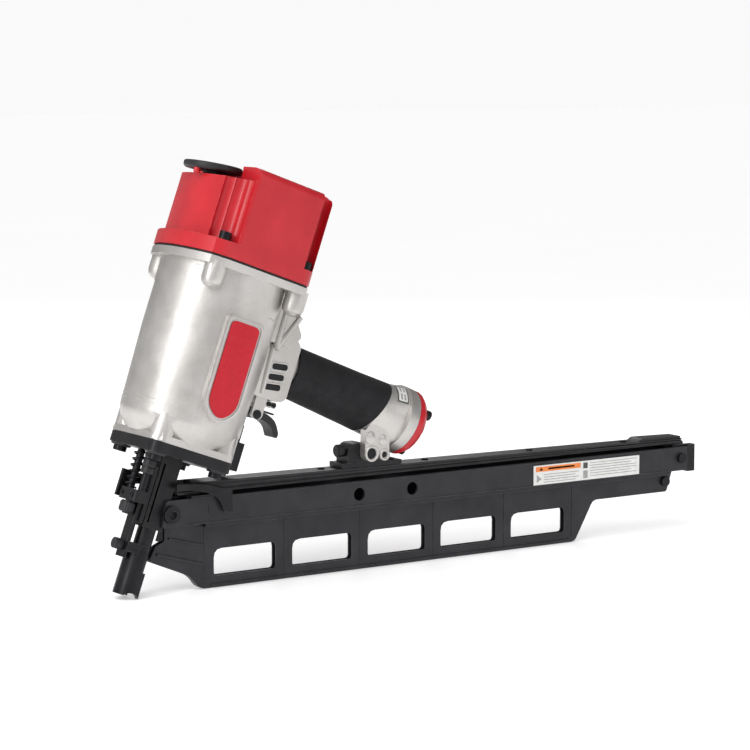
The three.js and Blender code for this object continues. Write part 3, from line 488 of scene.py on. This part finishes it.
def sweep(bm, path, radius, sides=10):
    """Round rod along a list of points."""
    points = [Vector(p) for p in path]
    normal = Vector((0, 1, 0))
    rings = []
    for i, point in enumerate(points):
        forward = (points[min(i + 1, len(points) - 1)] - points[max(i - 1, 0)]).normalized()
        across = forward.cross(normal)
        if across.length < 0.1:
            across = forward.cross(Vector((1, 0, 0)))
        across.normalize()
        normal = across.cross(forward).normalized()
        rings.append([bm.verts.new(point + radius * (
            math.cos(2 * math.pi * k / sides) * across + math.sin(2 * math.pi * k / sides) * normal))
            for k in range(sides)])
    for a, b in zip(rings, rings[1:]):
        for k in range(sides):
            j = (k + 1) % sides
            bm.faces.new((a[k], a[j], b[j], b[k]))
    bm.faces.new(rings[0][::-1])
    bm.faces.new(rings[-1])
    return bm


def moved(x, y, z):
    """Move by millimetres."""
    return Matrix.Translation(Vector((x, y, z)) * MM)


def facing(x, y, z, direction):
    """Place of a turned piece at a point with its z towards a direction."""
    turn = Vector((0, 0, 1)).rotation_difference(Vector(direction)).to_matrix().to_4x4()
    return moved(x, y, z) @ turn


def screw(name, matrix, radius, height, body=BODY):
    """Button or cap head with a hexagon recess."""
    recess, shoulder, floor = radius * 0.5, height * 0.7, height * 0.35
    head = [(0, 0), (radius, 0), (radius, shoulder), (radius * 0.9, height)]
    socket = [(recess, height), (recess, floor), (0, floor)]

    def shape(k, angle):
        return hexagon(angle) if k >= len(head) else 1
    piece(name, lathe(bmesh.new(), head + socket, 36, shape), matrix, "dark_steel", body, bevel=0.15)


def value_at(start, end, place):
    """Value on the straight line between two (place, value) points."""
    return start[1] + (end[1] - start[1]) * (place - start[0]) / (end[0] - start[0])


# ---------------------------------------------------------------- barrel details
# Measures of details are in mm, in the driver, handle, deflector or magazine frame.
# (height, radius) points up the barrel.
BARREL_PROFILE = (
    (118, 37), (126, 40), (131, 44.5), (138, 46.6), (200, 48.4), (233, 48.4), (234, 49), (259, 49))
# Raised casting lines: start and end angle, lower and upper edge, how proud they stand.
CASTING_LINES = {
    "low": (170, 148, 146.6, 147.5, 0.55), "lower": (170, 148, 142.8, 143.7, 0.55),
    "top": (147, 136, 249.6, 250.6, 0.55), "under": (146, 137, 246.2, 246.9, 0.55),
    "rear": (38, 60, 228.5, 229.6, 0.6)}
PATCH_STEPS = 14
# Rim round the badge: (x, z, corner radius) outlines and the sides of its wall.
BADGE_RIM_OUTER = (
    (-14.3, 221.4, 5), (17.3, 221.4, 5), (17.3, 152.5, 13), (1.5, 140.2, 12), (-14.3, 152.5, 13))
BADGE_RIM_INNER = (
    (-12.5, 219.8, 5), (15.5, 219.8, 5), (15.5, 153.3, 12), (1.5, 142.3, 11), (-12.5, 153.3, 12))
BADGE_RIM_BACK, BADGE_RIM_FRONT = 49.2, 50.7
# Pointed rib down the front corner lug, on the far side: the points of its foot and its tip.
FOOT_RIB_BASE = ((-37, 30, 118.2), (-30, 37, 118.2), (-28, 28, 118.2))
FOOT_RIB_TIP = (-31.5, 31.5, 140)


def barrel_radius(height):
    for low, high in zip(BARREL_PROFILE, BARREL_PROFILE[1:]):
        if height <= high[0]:
            return value_at(low, high, height)
    return BARREL_PROFILE[-1][1]


def curved_patch(bm, radius_at, start, end, low, high, proud, sunk=1.0, squeeze=1.0):
    """Plate that lies on a turned surface between two angles and two heights, standing proud of it."""
    rings = []
    for i in range(PATCH_STEPS + 1):
        angle = math.radians(start + (end - start) * i / PATCH_STEPS)
        cos, sin = math.cos(angle), math.sin(angle) * squeeze
        ring = []
        for height, lift in ((low, -sunk), (low, proud), (high, proud), (high, -sunk)):
            reach = radius_at(height) + lift
            ring.append(bm.verts.new((reach * cos, reach * sin, height)))
        rings.append(ring)
    for a, b in zip(rings, rings[1:]):
        for k in range(4):
            j = (k + 1) % 4
            bm.faces.new((a[k], a[j], b[j], b[k]))
    bm.faces.new(rings[0])
    bm.faces.new(rings[-1][::-1])
    return bm


def on_side(point, side):
    """Point given for the far side, on either side."""
    x, y, z = point
    return x, side * y, z


def barrel_details():
    """Casting lines, the badge's rim and the pointed ribs at the foot."""
    for side_name, side in SIDES:
        for line, (start, end, low, high, proud) in CASTING_LINES.items():
            strip = curved_patch(bmesh.new(), barrel_radius, side * start, side * end, low, high, proud)
            piece(f"casting_line_{line}_{side_name}", strip, DRIVER, "cast_aluminium", bevel=0.3)
        rim = frame_prism(bmesh.new(), rounded(BADGE_RIM_OUTER), rounded(BADGE_RIM_INNER),
                          side * BADGE_RIM_BACK, side * BADGE_RIM_FRONT)
        piece(f"badge_rim_{side_name}", rim, DRIVER, "cast_aluminium", bevel=0.35)
        rib = bmesh.new()
        base = [rib.verts.new(on_side(point, side)) for point in FOOT_RIB_BASE]
        tip = rib.verts.new(on_side(FOOT_RIB_TIP, side))
        rib.faces.new(base)
        for i in range(3):
            rib.faces.new((base[i], base[(i + 1) % 3], tip))
        piece(f"foot_rib_{side_name}", rib, DRIVER, "cast_aluminium", bevel=0.8)


# ---------------------------------------------------------------- neck and trigger valve details
# Raised folds half sunk in the gusset's far side: start, end and radius.
GUSSET_FOLDS = {
    "upright": ((49, 20.2, 257), (50, 20.2, 213), 2.6),
    "slant": ((63, 19.8, 240), (50.5, 19.8, 211), 2.8),
    "foot": ((50.5, 16, 214), (52.5, 14.8, 176), 2.2)}
FOLD_STEPS = 6
# Slots in the neck's sides: (x, z) middles, tilt, half length and half height of rim, opening and shade plate,
# and the distances from the middle to the back and the front of rim and shade plate.
# The shade plate is a black plate inside the rim. It is painted shade that stands in for the slot's depth.
NECK_SLOTS = ((61.0, 199.4), (60.4, 191.0), (59.8, 183.0))
SLOT_TILT = math.radians(-9)
SLOT_RIM, SLOT_OPENING, SLOT_SHADE_PLATE = (8.4, 3.5), (6.9, 2.3), (7, 2.4)
SLOT_CORNER = 3
SLOT_RIM_BACK, SLOT_RIM_FRONT = 15, 16.5
SLOT_SHADE_PLATE_BACK, SLOT_SHADE_PLATE_FRONT = 15.2, 15.65
VALVE_SCREWS = ((66.5, 170.6), (71.0, 170.6))


def slot_outline(x, z, half, tall):
    turned = Matrix.Translation((x, 0, z)) @ Matrix.Rotation(SLOT_TILT, 4, "Y")
    corners = [(-half, tall), (half, tall), (half, -tall), (-half, -tall)]
    outline = rounded([(*corner, SLOT_CORNER) for corner in corners], 6)
    return [(turned @ Vector((p.x, 0, p.y))).xz for p in outline]


def neck_details():
    """Folds of the gusset and the three rimmed slots behind the barrel, each slot darkened by a black plate as
    painted shade.
    """
    for side_name, side in SIDES:
        for fold, (start, end, radius) in GUSSET_FOLDS.items():
            start, end = Vector(on_side(start, side)), Vector(on_side(end, side))
            path = [start.lerp(end, t / FOLD_STEPS) for t in range(FOLD_STEPS + 1)]
            bar = sweep(bmesh.new(), path, radius, sides=12)
            piece(f"gusset_fold_{fold}_{side_name}", bar, DRIVER, "cast_aluminium", bevel=0)
        for i, (x, z) in enumerate(NECK_SLOTS):
            outer, inner = slot_outline(x, z, *SLOT_RIM), slot_outline(x, z, *SLOT_OPENING)
            rim = frame_prism(bmesh.new(), outer, inner, side * SLOT_RIM_BACK, side * SLOT_RIM_FRONT)
            piece(f"neck_slot_rim_{i}_{side_name}", rim, DRIVER, "cast_aluminium", bevel=0.4)
            # black plate inside the rim, the slot's floor: painted shade that stands in for the slot's depth
            floor = prism(bmesh.new(), slot_outline(x, z, *SLOT_SHADE_PLATE),
                          side * SLOT_SHADE_PLATE_BACK, side * SLOT_SHADE_PLATE_FRONT, "xz")
            piece(f"neck_slot_{i}_{side_name}", floor, DRIVER, "black_steel", bevel=0.05)


def valve_details():
    """Screws of the trigger valve and the clips on the ends of the trigger's pin."""
    for side_name, side in SIDES:
        outwards = (0, side, 0)
        for i, (x, z) in enumerate(VALVE_SCREWS):
            screw(f"valve_screw_{i}_{side_name}", DRIVER @ facing(x, side * 7, z, outwards), 1.9, 1.5)
        clip = lathe(bmesh.new(), [(0, 0), (3.6, 0), (3.6, 0.7), (2.3, 0.9), (2.3, 1.3), (0, 1.3)], 24)
        piece(f"trigger_clip_{side_name}", clip, DRIVER @ facing(57.5, side * 9.8, 160, outwards),
              "dark_steel", bevel=0.1)


# ---------------------------------------------------------------- springs
STEPS_PER_TURN = 24


def coil_spring(node, centre, radius, wire, low, high, turns):
    """Round-wire spring in place of the CAD one."""
    steps = turns * STEPS_PER_TURN
    path = []
    for i in range(steps + 1):
        share = i / steps
        angle = 2 * math.pi * turns * share
        height = low + wire + (high - low - 2 * wire) * share
        path.append((centre[0] + radius * math.cos(angle), centre[1] + radius * math.sin(angle), height))
    spring = piece(f"{node}_coil", sweep(bmesh.new(), path, wire, 10), DRIVER, "dark_steel", bevel=0)
    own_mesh(spring)
    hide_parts(node)


def springs():
    """The safety's and the head valve's springs; the measures are in the driver frame."""
    coil_spring("safety_spring", centre=(-18.9, 8.6), radius=4.6, wire=0.7, low=79.6, high=109.1,
                turns=6)
    coil_spring("head_valve_spring", centre=(0, 0), radius=24, wire=1.5, low=262.4, high=305.7,
                turns=5)


# ---------------------------------------------------------------- cap and deflector details
MARK_TURN = math.radians(-75)
MARK_INNER, MARK_OUTER, MARK_HALF, MARK_CORNER = 17.5, 20.8, 2.2, 0.8


def cap_details():
    """Post under the deflector's rim, and the small mark that shows how far the deflector is turned."""
    post = lathe(bmesh.new(), [(0, -6), (2.6, -6), (2.2, -1.2), (1.6, -0.5), (0, -0.5)], 20)
    piece("cap_post", post, DEFLECTOR @ moved(-17.5, -7, 0), "red_paint", bevel=0.2)
    outline = rectangle(MARK_INNER, MARK_OUTER, -MARK_HALF, MARK_HALF)
    mark = prism(bmesh.new(), rounded([(*corner, MARK_CORNER) for corner in outline]), 5.2, 5.8)
    turn = Matrix.Rotation(MARK_TURN, 4, "Z")
    piece("deflector_mark", mark, DEFLECTOR @ turn, "black_plastic", "deflector", bevel=0.2)


# ---------------------------------------------------------------- nose details
NOSE_BOLT_ROWS = (("front", -27), ("rear", 27))
NOSE_BOLT_OUT = 27
KNURL_TEETH = 24
KNURL_DEPTH = 0.03


def knurl_reach(k, angle):
    """Teeth on the two middle rings of the depth adjuster's knurl."""
    return 1 + KNURL_DEPTH * (math.sin(KNURL_TEETH * angle) > 0) if k in (1, 2) else 1


def nose_details():
    """Collars under the nose flange, a rod's sleeve, the adjuster's knurl and the small screws."""
    for end_name, x in NOSE_BOLT_ROWS:
        for side_name, side in SIDES:
            collar = lathe(bmesh.new(), [
                (5.5, 107.6), (7.2, 107.6), (8.2, 109.5), (5.5, 109.5), (5.5, 107.6)], 28)
            place = DRIVER @ moved(x, side * NOSE_BOLT_OUT, 0)
            piece(f"nose_boss_{end_name}_{side_name}", collar, place, "black_plastic", bevel=0.3)
    sleeve = lathe(bmesh.new(), [
        (3.1, 92.6), (4.6, 92.6), (5.2, 93.4), (5.2, 97), (4.7, 97.6), (4.7, 98.6), (5.2, 99.2),
        (5.2, 103), (4.7, 103.6), (4.7, 104.6), (5.2, 105.2), (5.2, 109.3), (3.1, 109.3),
        (3.1, 92.6)], 28)
    piece("rod_sleeve_near", sleeve, DRIVER @ moved(-18.9, -8.6, 0), "black_plastic")
    knurl = lathe(bmesh.new(), [(5.0, 61.6), (5.7, 62.2), (5.7, 68.4), (5.0, 69)], 72, knurl_reach)
    bmesh.ops.holes_fill(knurl, edges=knurl.edges)
    piece("adjuster_knurl", knurl, DRIVER @ moved(-21.9, 0, 0),
          "black_plastic", "depth_adjuster", bevel=0)
    forwards = (-1, 0, 0)
    for side_name, side in SIDES:
        screw(f"cover_screw_{side_name}", DRIVER @ facing(-12.8, side * 4.6, 96, forwards), 2, 1.1)
        place = DRIVER @ facing(-25.4, side * 7.6, 74.8, forwards)
        screw(f"carriage_screw_{side_name}", place, 1.8, 1.0, body="safety")
    screw("safety_arm_screw", DRIVER @ facing(-21, 17, 79, (0, 1, 0)), 2.6, 1.6, body="safety")


# ---------------------------------------------------------------- handle details
# (height, radius) at both ends of the handle's flare, and how flat its section is.
FLARE_START, FLARE_END = (95, 23.2), (109, 26)
HANDLE_FLATNESS = 0.86
# Marks on the small sticker: start and end angle of each column; foot, pitch and height of the rows.
STICKER_COLUMNS = ((-156, -144), (-138, -124))
ROW_FOOT, ROW_PITCH, ROW_HEIGHT = 99.2, 3, 1.6


def handle_radius(height):
    return value_at(FLARE_START, FLARE_END, height)


def sticker_layer(name, start, end, low, high, proud, sunk, slot, bevel, material=None):
    """One layer of the small sticker on the handle's flare."""
    layer = curved_patch(bmesh.new(), handle_radius, start, end, low, high, proud, sunk, HANDLE_FLATNESS)
    piece(name, layer, HANDLE, slot, bevel=bevel, material=material)


def handle_details():
    """Sticker on the flare, the end cap's gasket and the air inlet's washer."""
    sticker_layer("handle_sticker_frame", -162, -118, 96.5, 106.2, 0.15, 0.6,
                  "black_plastic", 0.05, PRINTS["dark"])
    sticker_layer("handle_sticker", -159, -121, 97.6, 105.1, 0.28, 0.4, "label", 0.05)
    for i, (start, end) in enumerate(STICKER_COLUMNS):
        for row in range(2):
            low = ROW_FOOT + ROW_PITCH * row
            high = low + ROW_HEIGHT
            sticker_layer(f"handle_sticker_mark_{i}_{row}", start, end, low, high, 0.34, 0.2,
                          "label", 0, PRINTS["grey"])
    gasket = lathe(bmesh.new(), [
        (18, 115.9), (26.3, 115.9), (26.3, 116.35), (18, 116.35), (18, 115.9)], 48)
    piece("end_cap_gasket", gasket, HANDLE, "seal_rubber", bevel=0)
    washer = lathe(bmesh.new(), [
        (6.4, 124.5), (8.9, 124.5), (8.9, 125.6), (6.4, 125.6), (6.4, 124.5)], 32)
    piece("inlet_washer", washer, HANDLE, "steel", bevel=0.2)


# ---------------------------------------------------------------- magazine details
def flat_bar(name, points, low, high, slot, bevel=0.2, material=None):
    """Plate drawn in the magazine's side view, between two depths."""
    bar = prism(bmesh.new(), rounded(points), low, high, "xz")
    piece(name, bar, MAGAZINE, slot, bevel=bevel, material=material)


def rectangle(x0, x1, z0, z1):
    return [(x0, z0), (x1, z0), (x1, z1), (x0, z1)]


def bar_between(x0, z0, x1, z1, thick):
    """Outline of a straight bar from one point to another."""
    along = Vector((x1 - x0, z1 - z0)).normalized() * thick / 2
    across = Vector((-along.y, along.x))
    first, last = Vector((x0, z0)), Vector((x1, z1))
    return [tuple(p) for p in (first - across, last - across, last + across, first + across)]


def skin(side, surface, proud, sunk=0.5):
    """Depths of a raised line that starts inside a side face and stands proud of it."""
    return sorted((side * (surface - sunk), side * (surface + proud)))


WINDOW_COUNT = 5
WINDOW_PITCH = 70
WINDOW_POST = 62
# Distance from the middle to the side faces.
FIN_SIDE = 3.15
BODY_SIDE = 11
RAIL_SIDE = 9
# Raised lines on the fin and on the body: outline, how proud they stand, bevel.
FIN_LINES = {"fin_line_front": (rectangle(-9.1, -8, 6, 47.5), 0.4, 0.25)}
for window in range(WINDOW_COUNT):
    post = WINDOW_PITCH * window + WINDOW_POST
    FIN_LINES[f"fin_line_{window}"] = (rectangle(post, post + 1, 3.5, 47.5), 0.4, 0.25)
FIN_LINES["fin_ledge"] = (bar_between(-50, 30.5, -10.5, 19, 2.4), 1.3, 0.6)
FIN_LINES["fin_ledge_upper"] = (bar_between(-40, 41.5, -10.5, 34, 1.6), 1.3, 0.5)
FIN_LINES["fin_keel"] = (rectangle(-3, 340, 1.1, 3.1), 0.9, 0.5)
BODY_LINES = {
    "body_edge_lower": (rectangle(-30, 440, 51.6, 52.8), 0.35, 0.3),
    "body_edge_upper": (rectangle(14, 440, 70.2, 71.2), 0.35, 0.25)}
BODY_SLIT = rectangle(-9.4, -8.6, 56.5, 65.5)
# (x, z) of the rail's top at both ends, how far its lines lie below it, and its screws.
RAIL_FRONT, RAIL_REAR = (-34, 83.4), (456, 78.4)
RAIL_LINES = {"high": 0.9, "low": 3.4}
RAIL_LINE_WIDTH = 0.9
RAIL_LINE_INSET = 2
RAIL_LINE_RISE = 0.6
RAIL_SCREWS = (-22, 98, 196, 300, 398)


def rail_height(x):
    return value_at(RAIL_FRONT, RAIL_REAR, x)


def rail_line(drop):
    """Outline of a line along the rail; towards the rear it comes closer to the top."""
    x0, x1 = RAIL_FRONT[0] + RAIL_LINE_INSET, RAIL_REAR[0] - RAIL_LINE_INSET
    z0, z1 = rail_height(x0) - drop, rail_height(x1) - drop * RAIL_LINE_RISE
    return bar_between(x0, z0, x1, z1, RAIL_LINE_WIDTH)


def magazine_details():
    """Raised lines along the magazine, the block at the rail's end and the rail's screws."""
    for side_name, side in SIDES:
        for surface, lines in ((FIN_SIDE, FIN_LINES), (BODY_SIDE, BODY_LINES)):
            for line, (points, proud, bevel) in lines.items():
                low, high = skin(side, surface, proud)
                flat_bar(f"{line}_{side_name}", points, low, high, "black_alloy", bevel)
        low, high = skin(side, BODY_SIDE, 0.12, 0.2)
        flat_bar(f"body_slit_{side_name}", BODY_SLIT, low, high, "black_steel", 0)
        low, high = skin(side, RAIL_SIDE, 0.45, 0.4)
        for line, drop in RAIL_LINES.items():
            flat_bar(f"rail_line_{line}_{side_name}", rail_line(drop), low, high, "black_plastic", 0.25)
    block = [
        (408, rail_height(408) - 0.4, 0), (454, rail_height(454) - 0.4, 0),
        (455, 80.4, 1.2), (412, 81.4, 2)]
    flat_bar("rail_end_block", block, -7.8, 7.8, "black_plastic", 0.5)
    for x in RAIL_SCREWS:
        place = MAGAZINE @ facing(x, 0, rail_height(x), (0, 0, 1))
        screw(f"rail_screw_{x - RAIL_SCREWS[0]}", place, 2.8, 1.2)


# ---------------------------------------------------------------- bracket details
LUG_BOLT = (135, 93)
LUG_PIN = (147, 91.3)
# Raised rings round the lug's holes: middle, outer and inner radius.
LUG_RINGS = {"bolt": (*LUG_BOLT, 6.4, 4.6), "pin": (*LUG_PIN, 4.8, 2.8)}
# Half round lobes on top of the lug: middle and radius.
LUG_LOBES = ((133.5, 105.5, 5.2), (145.5, 103, 4.4))
# Turns a lathed piece so that its height is counted towards the near side.
HEIGHT_TO_NEAR = Matrix.Rotation(math.pi / 2, 4, "X")


def bracket_details():
    """Raised rings and lobes on the handle's lug, its pin, and the bracket's screws and buffer."""
    for name, (x, z, outer, inner) in LUG_RINGS.items():
        ring = lathe(bmesh.new(), [
            (inner, 15.4), (outer, 15.4), (outer, 16.5), (outer - 0.5, 16.9), (inner + 0.4, 16.9),
            (inner, 16.5), (inner, 15.4)], 36)
        place = MAGAZINE @ moved(x, 0, z) @ HEIGHT_TO_NEAR
        piece(f"lug_ring_{name}", ring, place, "cast_aluminium", bevel=0.15)
    for i, (x, z, radius) in enumerate(LUG_LOBES):
        lobe = lathe(bmesh.new(), [
            (0, 0), (radius, 0), (radius * 0.9, 1), (radius * 0.5, 1.7), (0, 1.9)], 28)
        place = MAGAZINE @ facing(x, -15.8, z, (0, -1, 0))
        piece(f"lug_lobe_{i}", lobe, place, "cast_aluminium", bevel=0)
    pin = lathe(bmesh.new(), [(0, -11), (2.3, -11), (2.3, 15.2), (1.8, 15.6), (0, 15.6)], 20)
    place = MAGAZINE @ moved(LUG_PIN[0], 0, LUG_PIN[1]) @ HEIGHT_TO_NEAR
    piece("lug_pin", pin, place, "dark_steel", bevel=0.2)
    for side_name, side in SIDES:
        screw(f"bracket_screw_{side_name}", MAGAZINE @ facing(160, side * 5, 85.1, (0, 0, 1)), 2.4, 1.3)
    wheel = lathe(bmesh.new(), [(0, -0.6), (3.6, -0.6), (4.2, -1.2), (4.2, -1.6), (0, -1.6)], 28)
    piece("buffer_face", wheel, MAGAZINE @ facing(113.2, 0, 95, (1, 0, 0)), "seal_rubber", bevel=0.2)


# ---------------------------------------------------------------- sticker on the magazine
LABEL_BACK, LABEL_FRONT = -11.78, -11.6
LINE_HEIGHT = 0.5


def ink(name, points, colour):
    """One printed shape on the sticker."""
    flat_bar(f"label_{name}", points, LABEL_BACK, LABEL_FRONT, "label", 0, PRINTS[colour])


def label_print():
    """Generic printing: a band, two signs and lines, with no lettering."""
    ink("band", rectangle(298.3, 344.5, 63.3, 67.4), "orange")
    ink("band_sign", [(302, 64.2), (305.4, 64.2), (303.7, 66.8)], "dark")
    ink("band_bar", rectangle(311, 338, 64.7, 66.1), "dark")
    ink("sign_front", [(299.2, 54.5), (304.2, 57.2), (299.2, 61)], "grey")
    ink("sign_top", rectangle(347.2, 351.8, 62.3, 67), "dark")
    ink("sign_low", rectangle(347.2, 351.8, 54, 60.4), "grey")
    for row in range(4):
        z = 60.9 - 2.1 * row
        end = 342.5 - 3.5 * (row % 2)
        ink(f"line_front_{row}", rectangle(306.6, end, z - LINE_HEIGHT, z), "grey")
    for row in range(6):
        z = 66.6 - 2.15 * row
        end = 403.5 - 5.5 * (row % 3 == 1)
        ink(f"line_rear_{row}", rectangle(354.4, end, z - LINE_HEIGHT, z), "grey")


barrel_details()
neck_details()
valve_details()
springs()
cap_details()
nose_details()
handle_details()
magazine_details()
bracket_details()
label_print()


# ---------------------------------------------------------------- camera, light and floor
CAMERA_AZIMUTH = -33.6
CAMERA_ELEVATION = 6.93
CAMERA_DISTANCE = 2.081
CAMERA_TARGET = Vector((-0.04257, 0, 0.1522))
CAMERA_LENS = 127.34
CAMERA_SENSOR = 36
SUN_ANGLE = math.radians(50)
# The world glows towards one direction; the camera sees it as an even pale backdrop.
GLOW_DIRECTION = (-0.75, -0.15, 0.6)
GLOW_RANGE = {"From Min": -0.6, "From Max": 0.8, "To Min": 0.06, "To Max": 0.62}
BACKDROP = 0.95
FLOOR_HALF = 14
FLOOR_DROP = 0.0004
FLOOR_GLOW = 0.34


def aim(obj, azimuth, elevation, distance):
    """Puts a camera or lamp round the target, looking at it. Azimuth 0 is the near side."""
    azimuth, elevation = math.radians(azimuth), math.radians(elevation)
    flat = math.cos(elevation)
    back = Vector((math.sin(azimuth) * flat, -math.cos(azimuth) * flat, math.sin(elevation)))
    obj.location = CAMERA_TARGET + back * distance
    obj.rotation_euler = (-back).to_track_quat("-Z", "Y").to_euler()
    bpy.context.scene.collection.objects.link(obj)


def add_camera():
    data = bpy.data.cameras.new("camera")
    data.lens = CAMERA_LENS
    data.sensor_width = CAMERA_SENSOR
    camera = bpy.data.objects.new("camera", data)
    aim(camera, CAMERA_AZIMUTH, CAMERA_ELEVATION, CAMERA_DISTANCE)
    bpy.context.scene.camera = camera


def add_softbox(name, azimuth, elevation, distance, size, power):
    data = bpy.data.lights.new(name, "AREA")
    data.shape = "RECTANGLE"
    data.size, data.size_y = size
    data.energy = power
    aim(bpy.data.objects.new(name, data), azimuth, elevation, distance)


def add_sun(azimuth, elevation, power):
    """Wide sun that lights the whole floor evenly, as a large overhead bank does."""
    data = bpy.data.lights.new("bank", "SUN")
    data.energy = power
    data.angle = SUN_ANGLE
    aim(bpy.data.objects.new("bank", data), azimuth, elevation, CAMERA_DISTANCE)


def add_world():
    """Soft studio glow for reflections, and an even backdrop for the camera."""
    world = bpy.data.worlds.new("studio")
    world.use_nodes = True
    tree = world.node_tree
    background = tree.nodes["Background"]
    direction = tree.nodes.new("ShaderNodeTexCoord").outputs["Generated"]
    slope = tree.nodes.new("ShaderNodeVectorMath")
    slope.operation = "DOT_PRODUCT"
    slope.inputs[1].default_value = GLOW_DIRECTION
    glow = tree.nodes.new("ShaderNodeMapRange")
    Nodes.set(glow, GLOW_RANGE)
    seen = tree.nodes.new("ShaderNodeLightPath").outputs["Is Camera Ray"]
    strength = tree.nodes.new("ShaderNodeMix")
    strength.inputs[3].default_value = BACKDROP
    tree.links.new(direction, slope.inputs[0])
    tree.links.new(slope.outputs["Value"], glow.inputs["Value"])
    tree.links.new(seen, strength.inputs[0])
    tree.links.new(glow.outputs["Result"], strength.inputs[2])
    tree.links.new(strength.outputs[0], background.inputs["Strength"])
    background.inputs["Color"].default_value = (1, 1, 1, 1)
    bpy.context.scene.world = world


def add_floor():
    """White paper floor just under the tool."""
    bm = bmesh.new()
    bmesh.ops.create_grid(bm, x_segments=2, y_segments=2, size=FLOOR_HALF)
    mesh = bpy.data.meshes.new("floor")
    bm.to_mesh(mesh)
    bm.free()
    floor = bpy.data.objects.new("floor", mesh)
    floor.location.z = -FLOOR_DROP
    bpy.context.scene.collection.objects.link(floor)
    nodes = Nodes("floor_paper", 0.9)
    cloud = nodes.ramp(nodes.noise(300), *NOISE_WIDE)
    nodes.colour(nodes.mix(cloud, (0.86, 0.86, 0.86), (0.88, 0.88, 0.88)))
    nodes.bump((nodes.noise(2), 0.05, 0.05))
    Nodes.set(nodes.shader, {"Emission Color": (1, 1, 1, 1), "Emission Strength": FLOOR_GLOW})
    paint(floor, nodes.material)


add_camera()
add_world()
add_floor()
add_sun(-55, 52, power=1.15)
add_softbox("key", -78, 28, distance=1.6, size=(0.35, 1.2), power=7)
add_softbox("fill", 22, 25, distance=2.2, size=(0.6, 1.4), power=5)
add_softbox("rim", 150, 35, distance=1.8, size=(0.6, 1.2), power=6)
bpy.context.scene.view_settings.view_transform = "Standard"
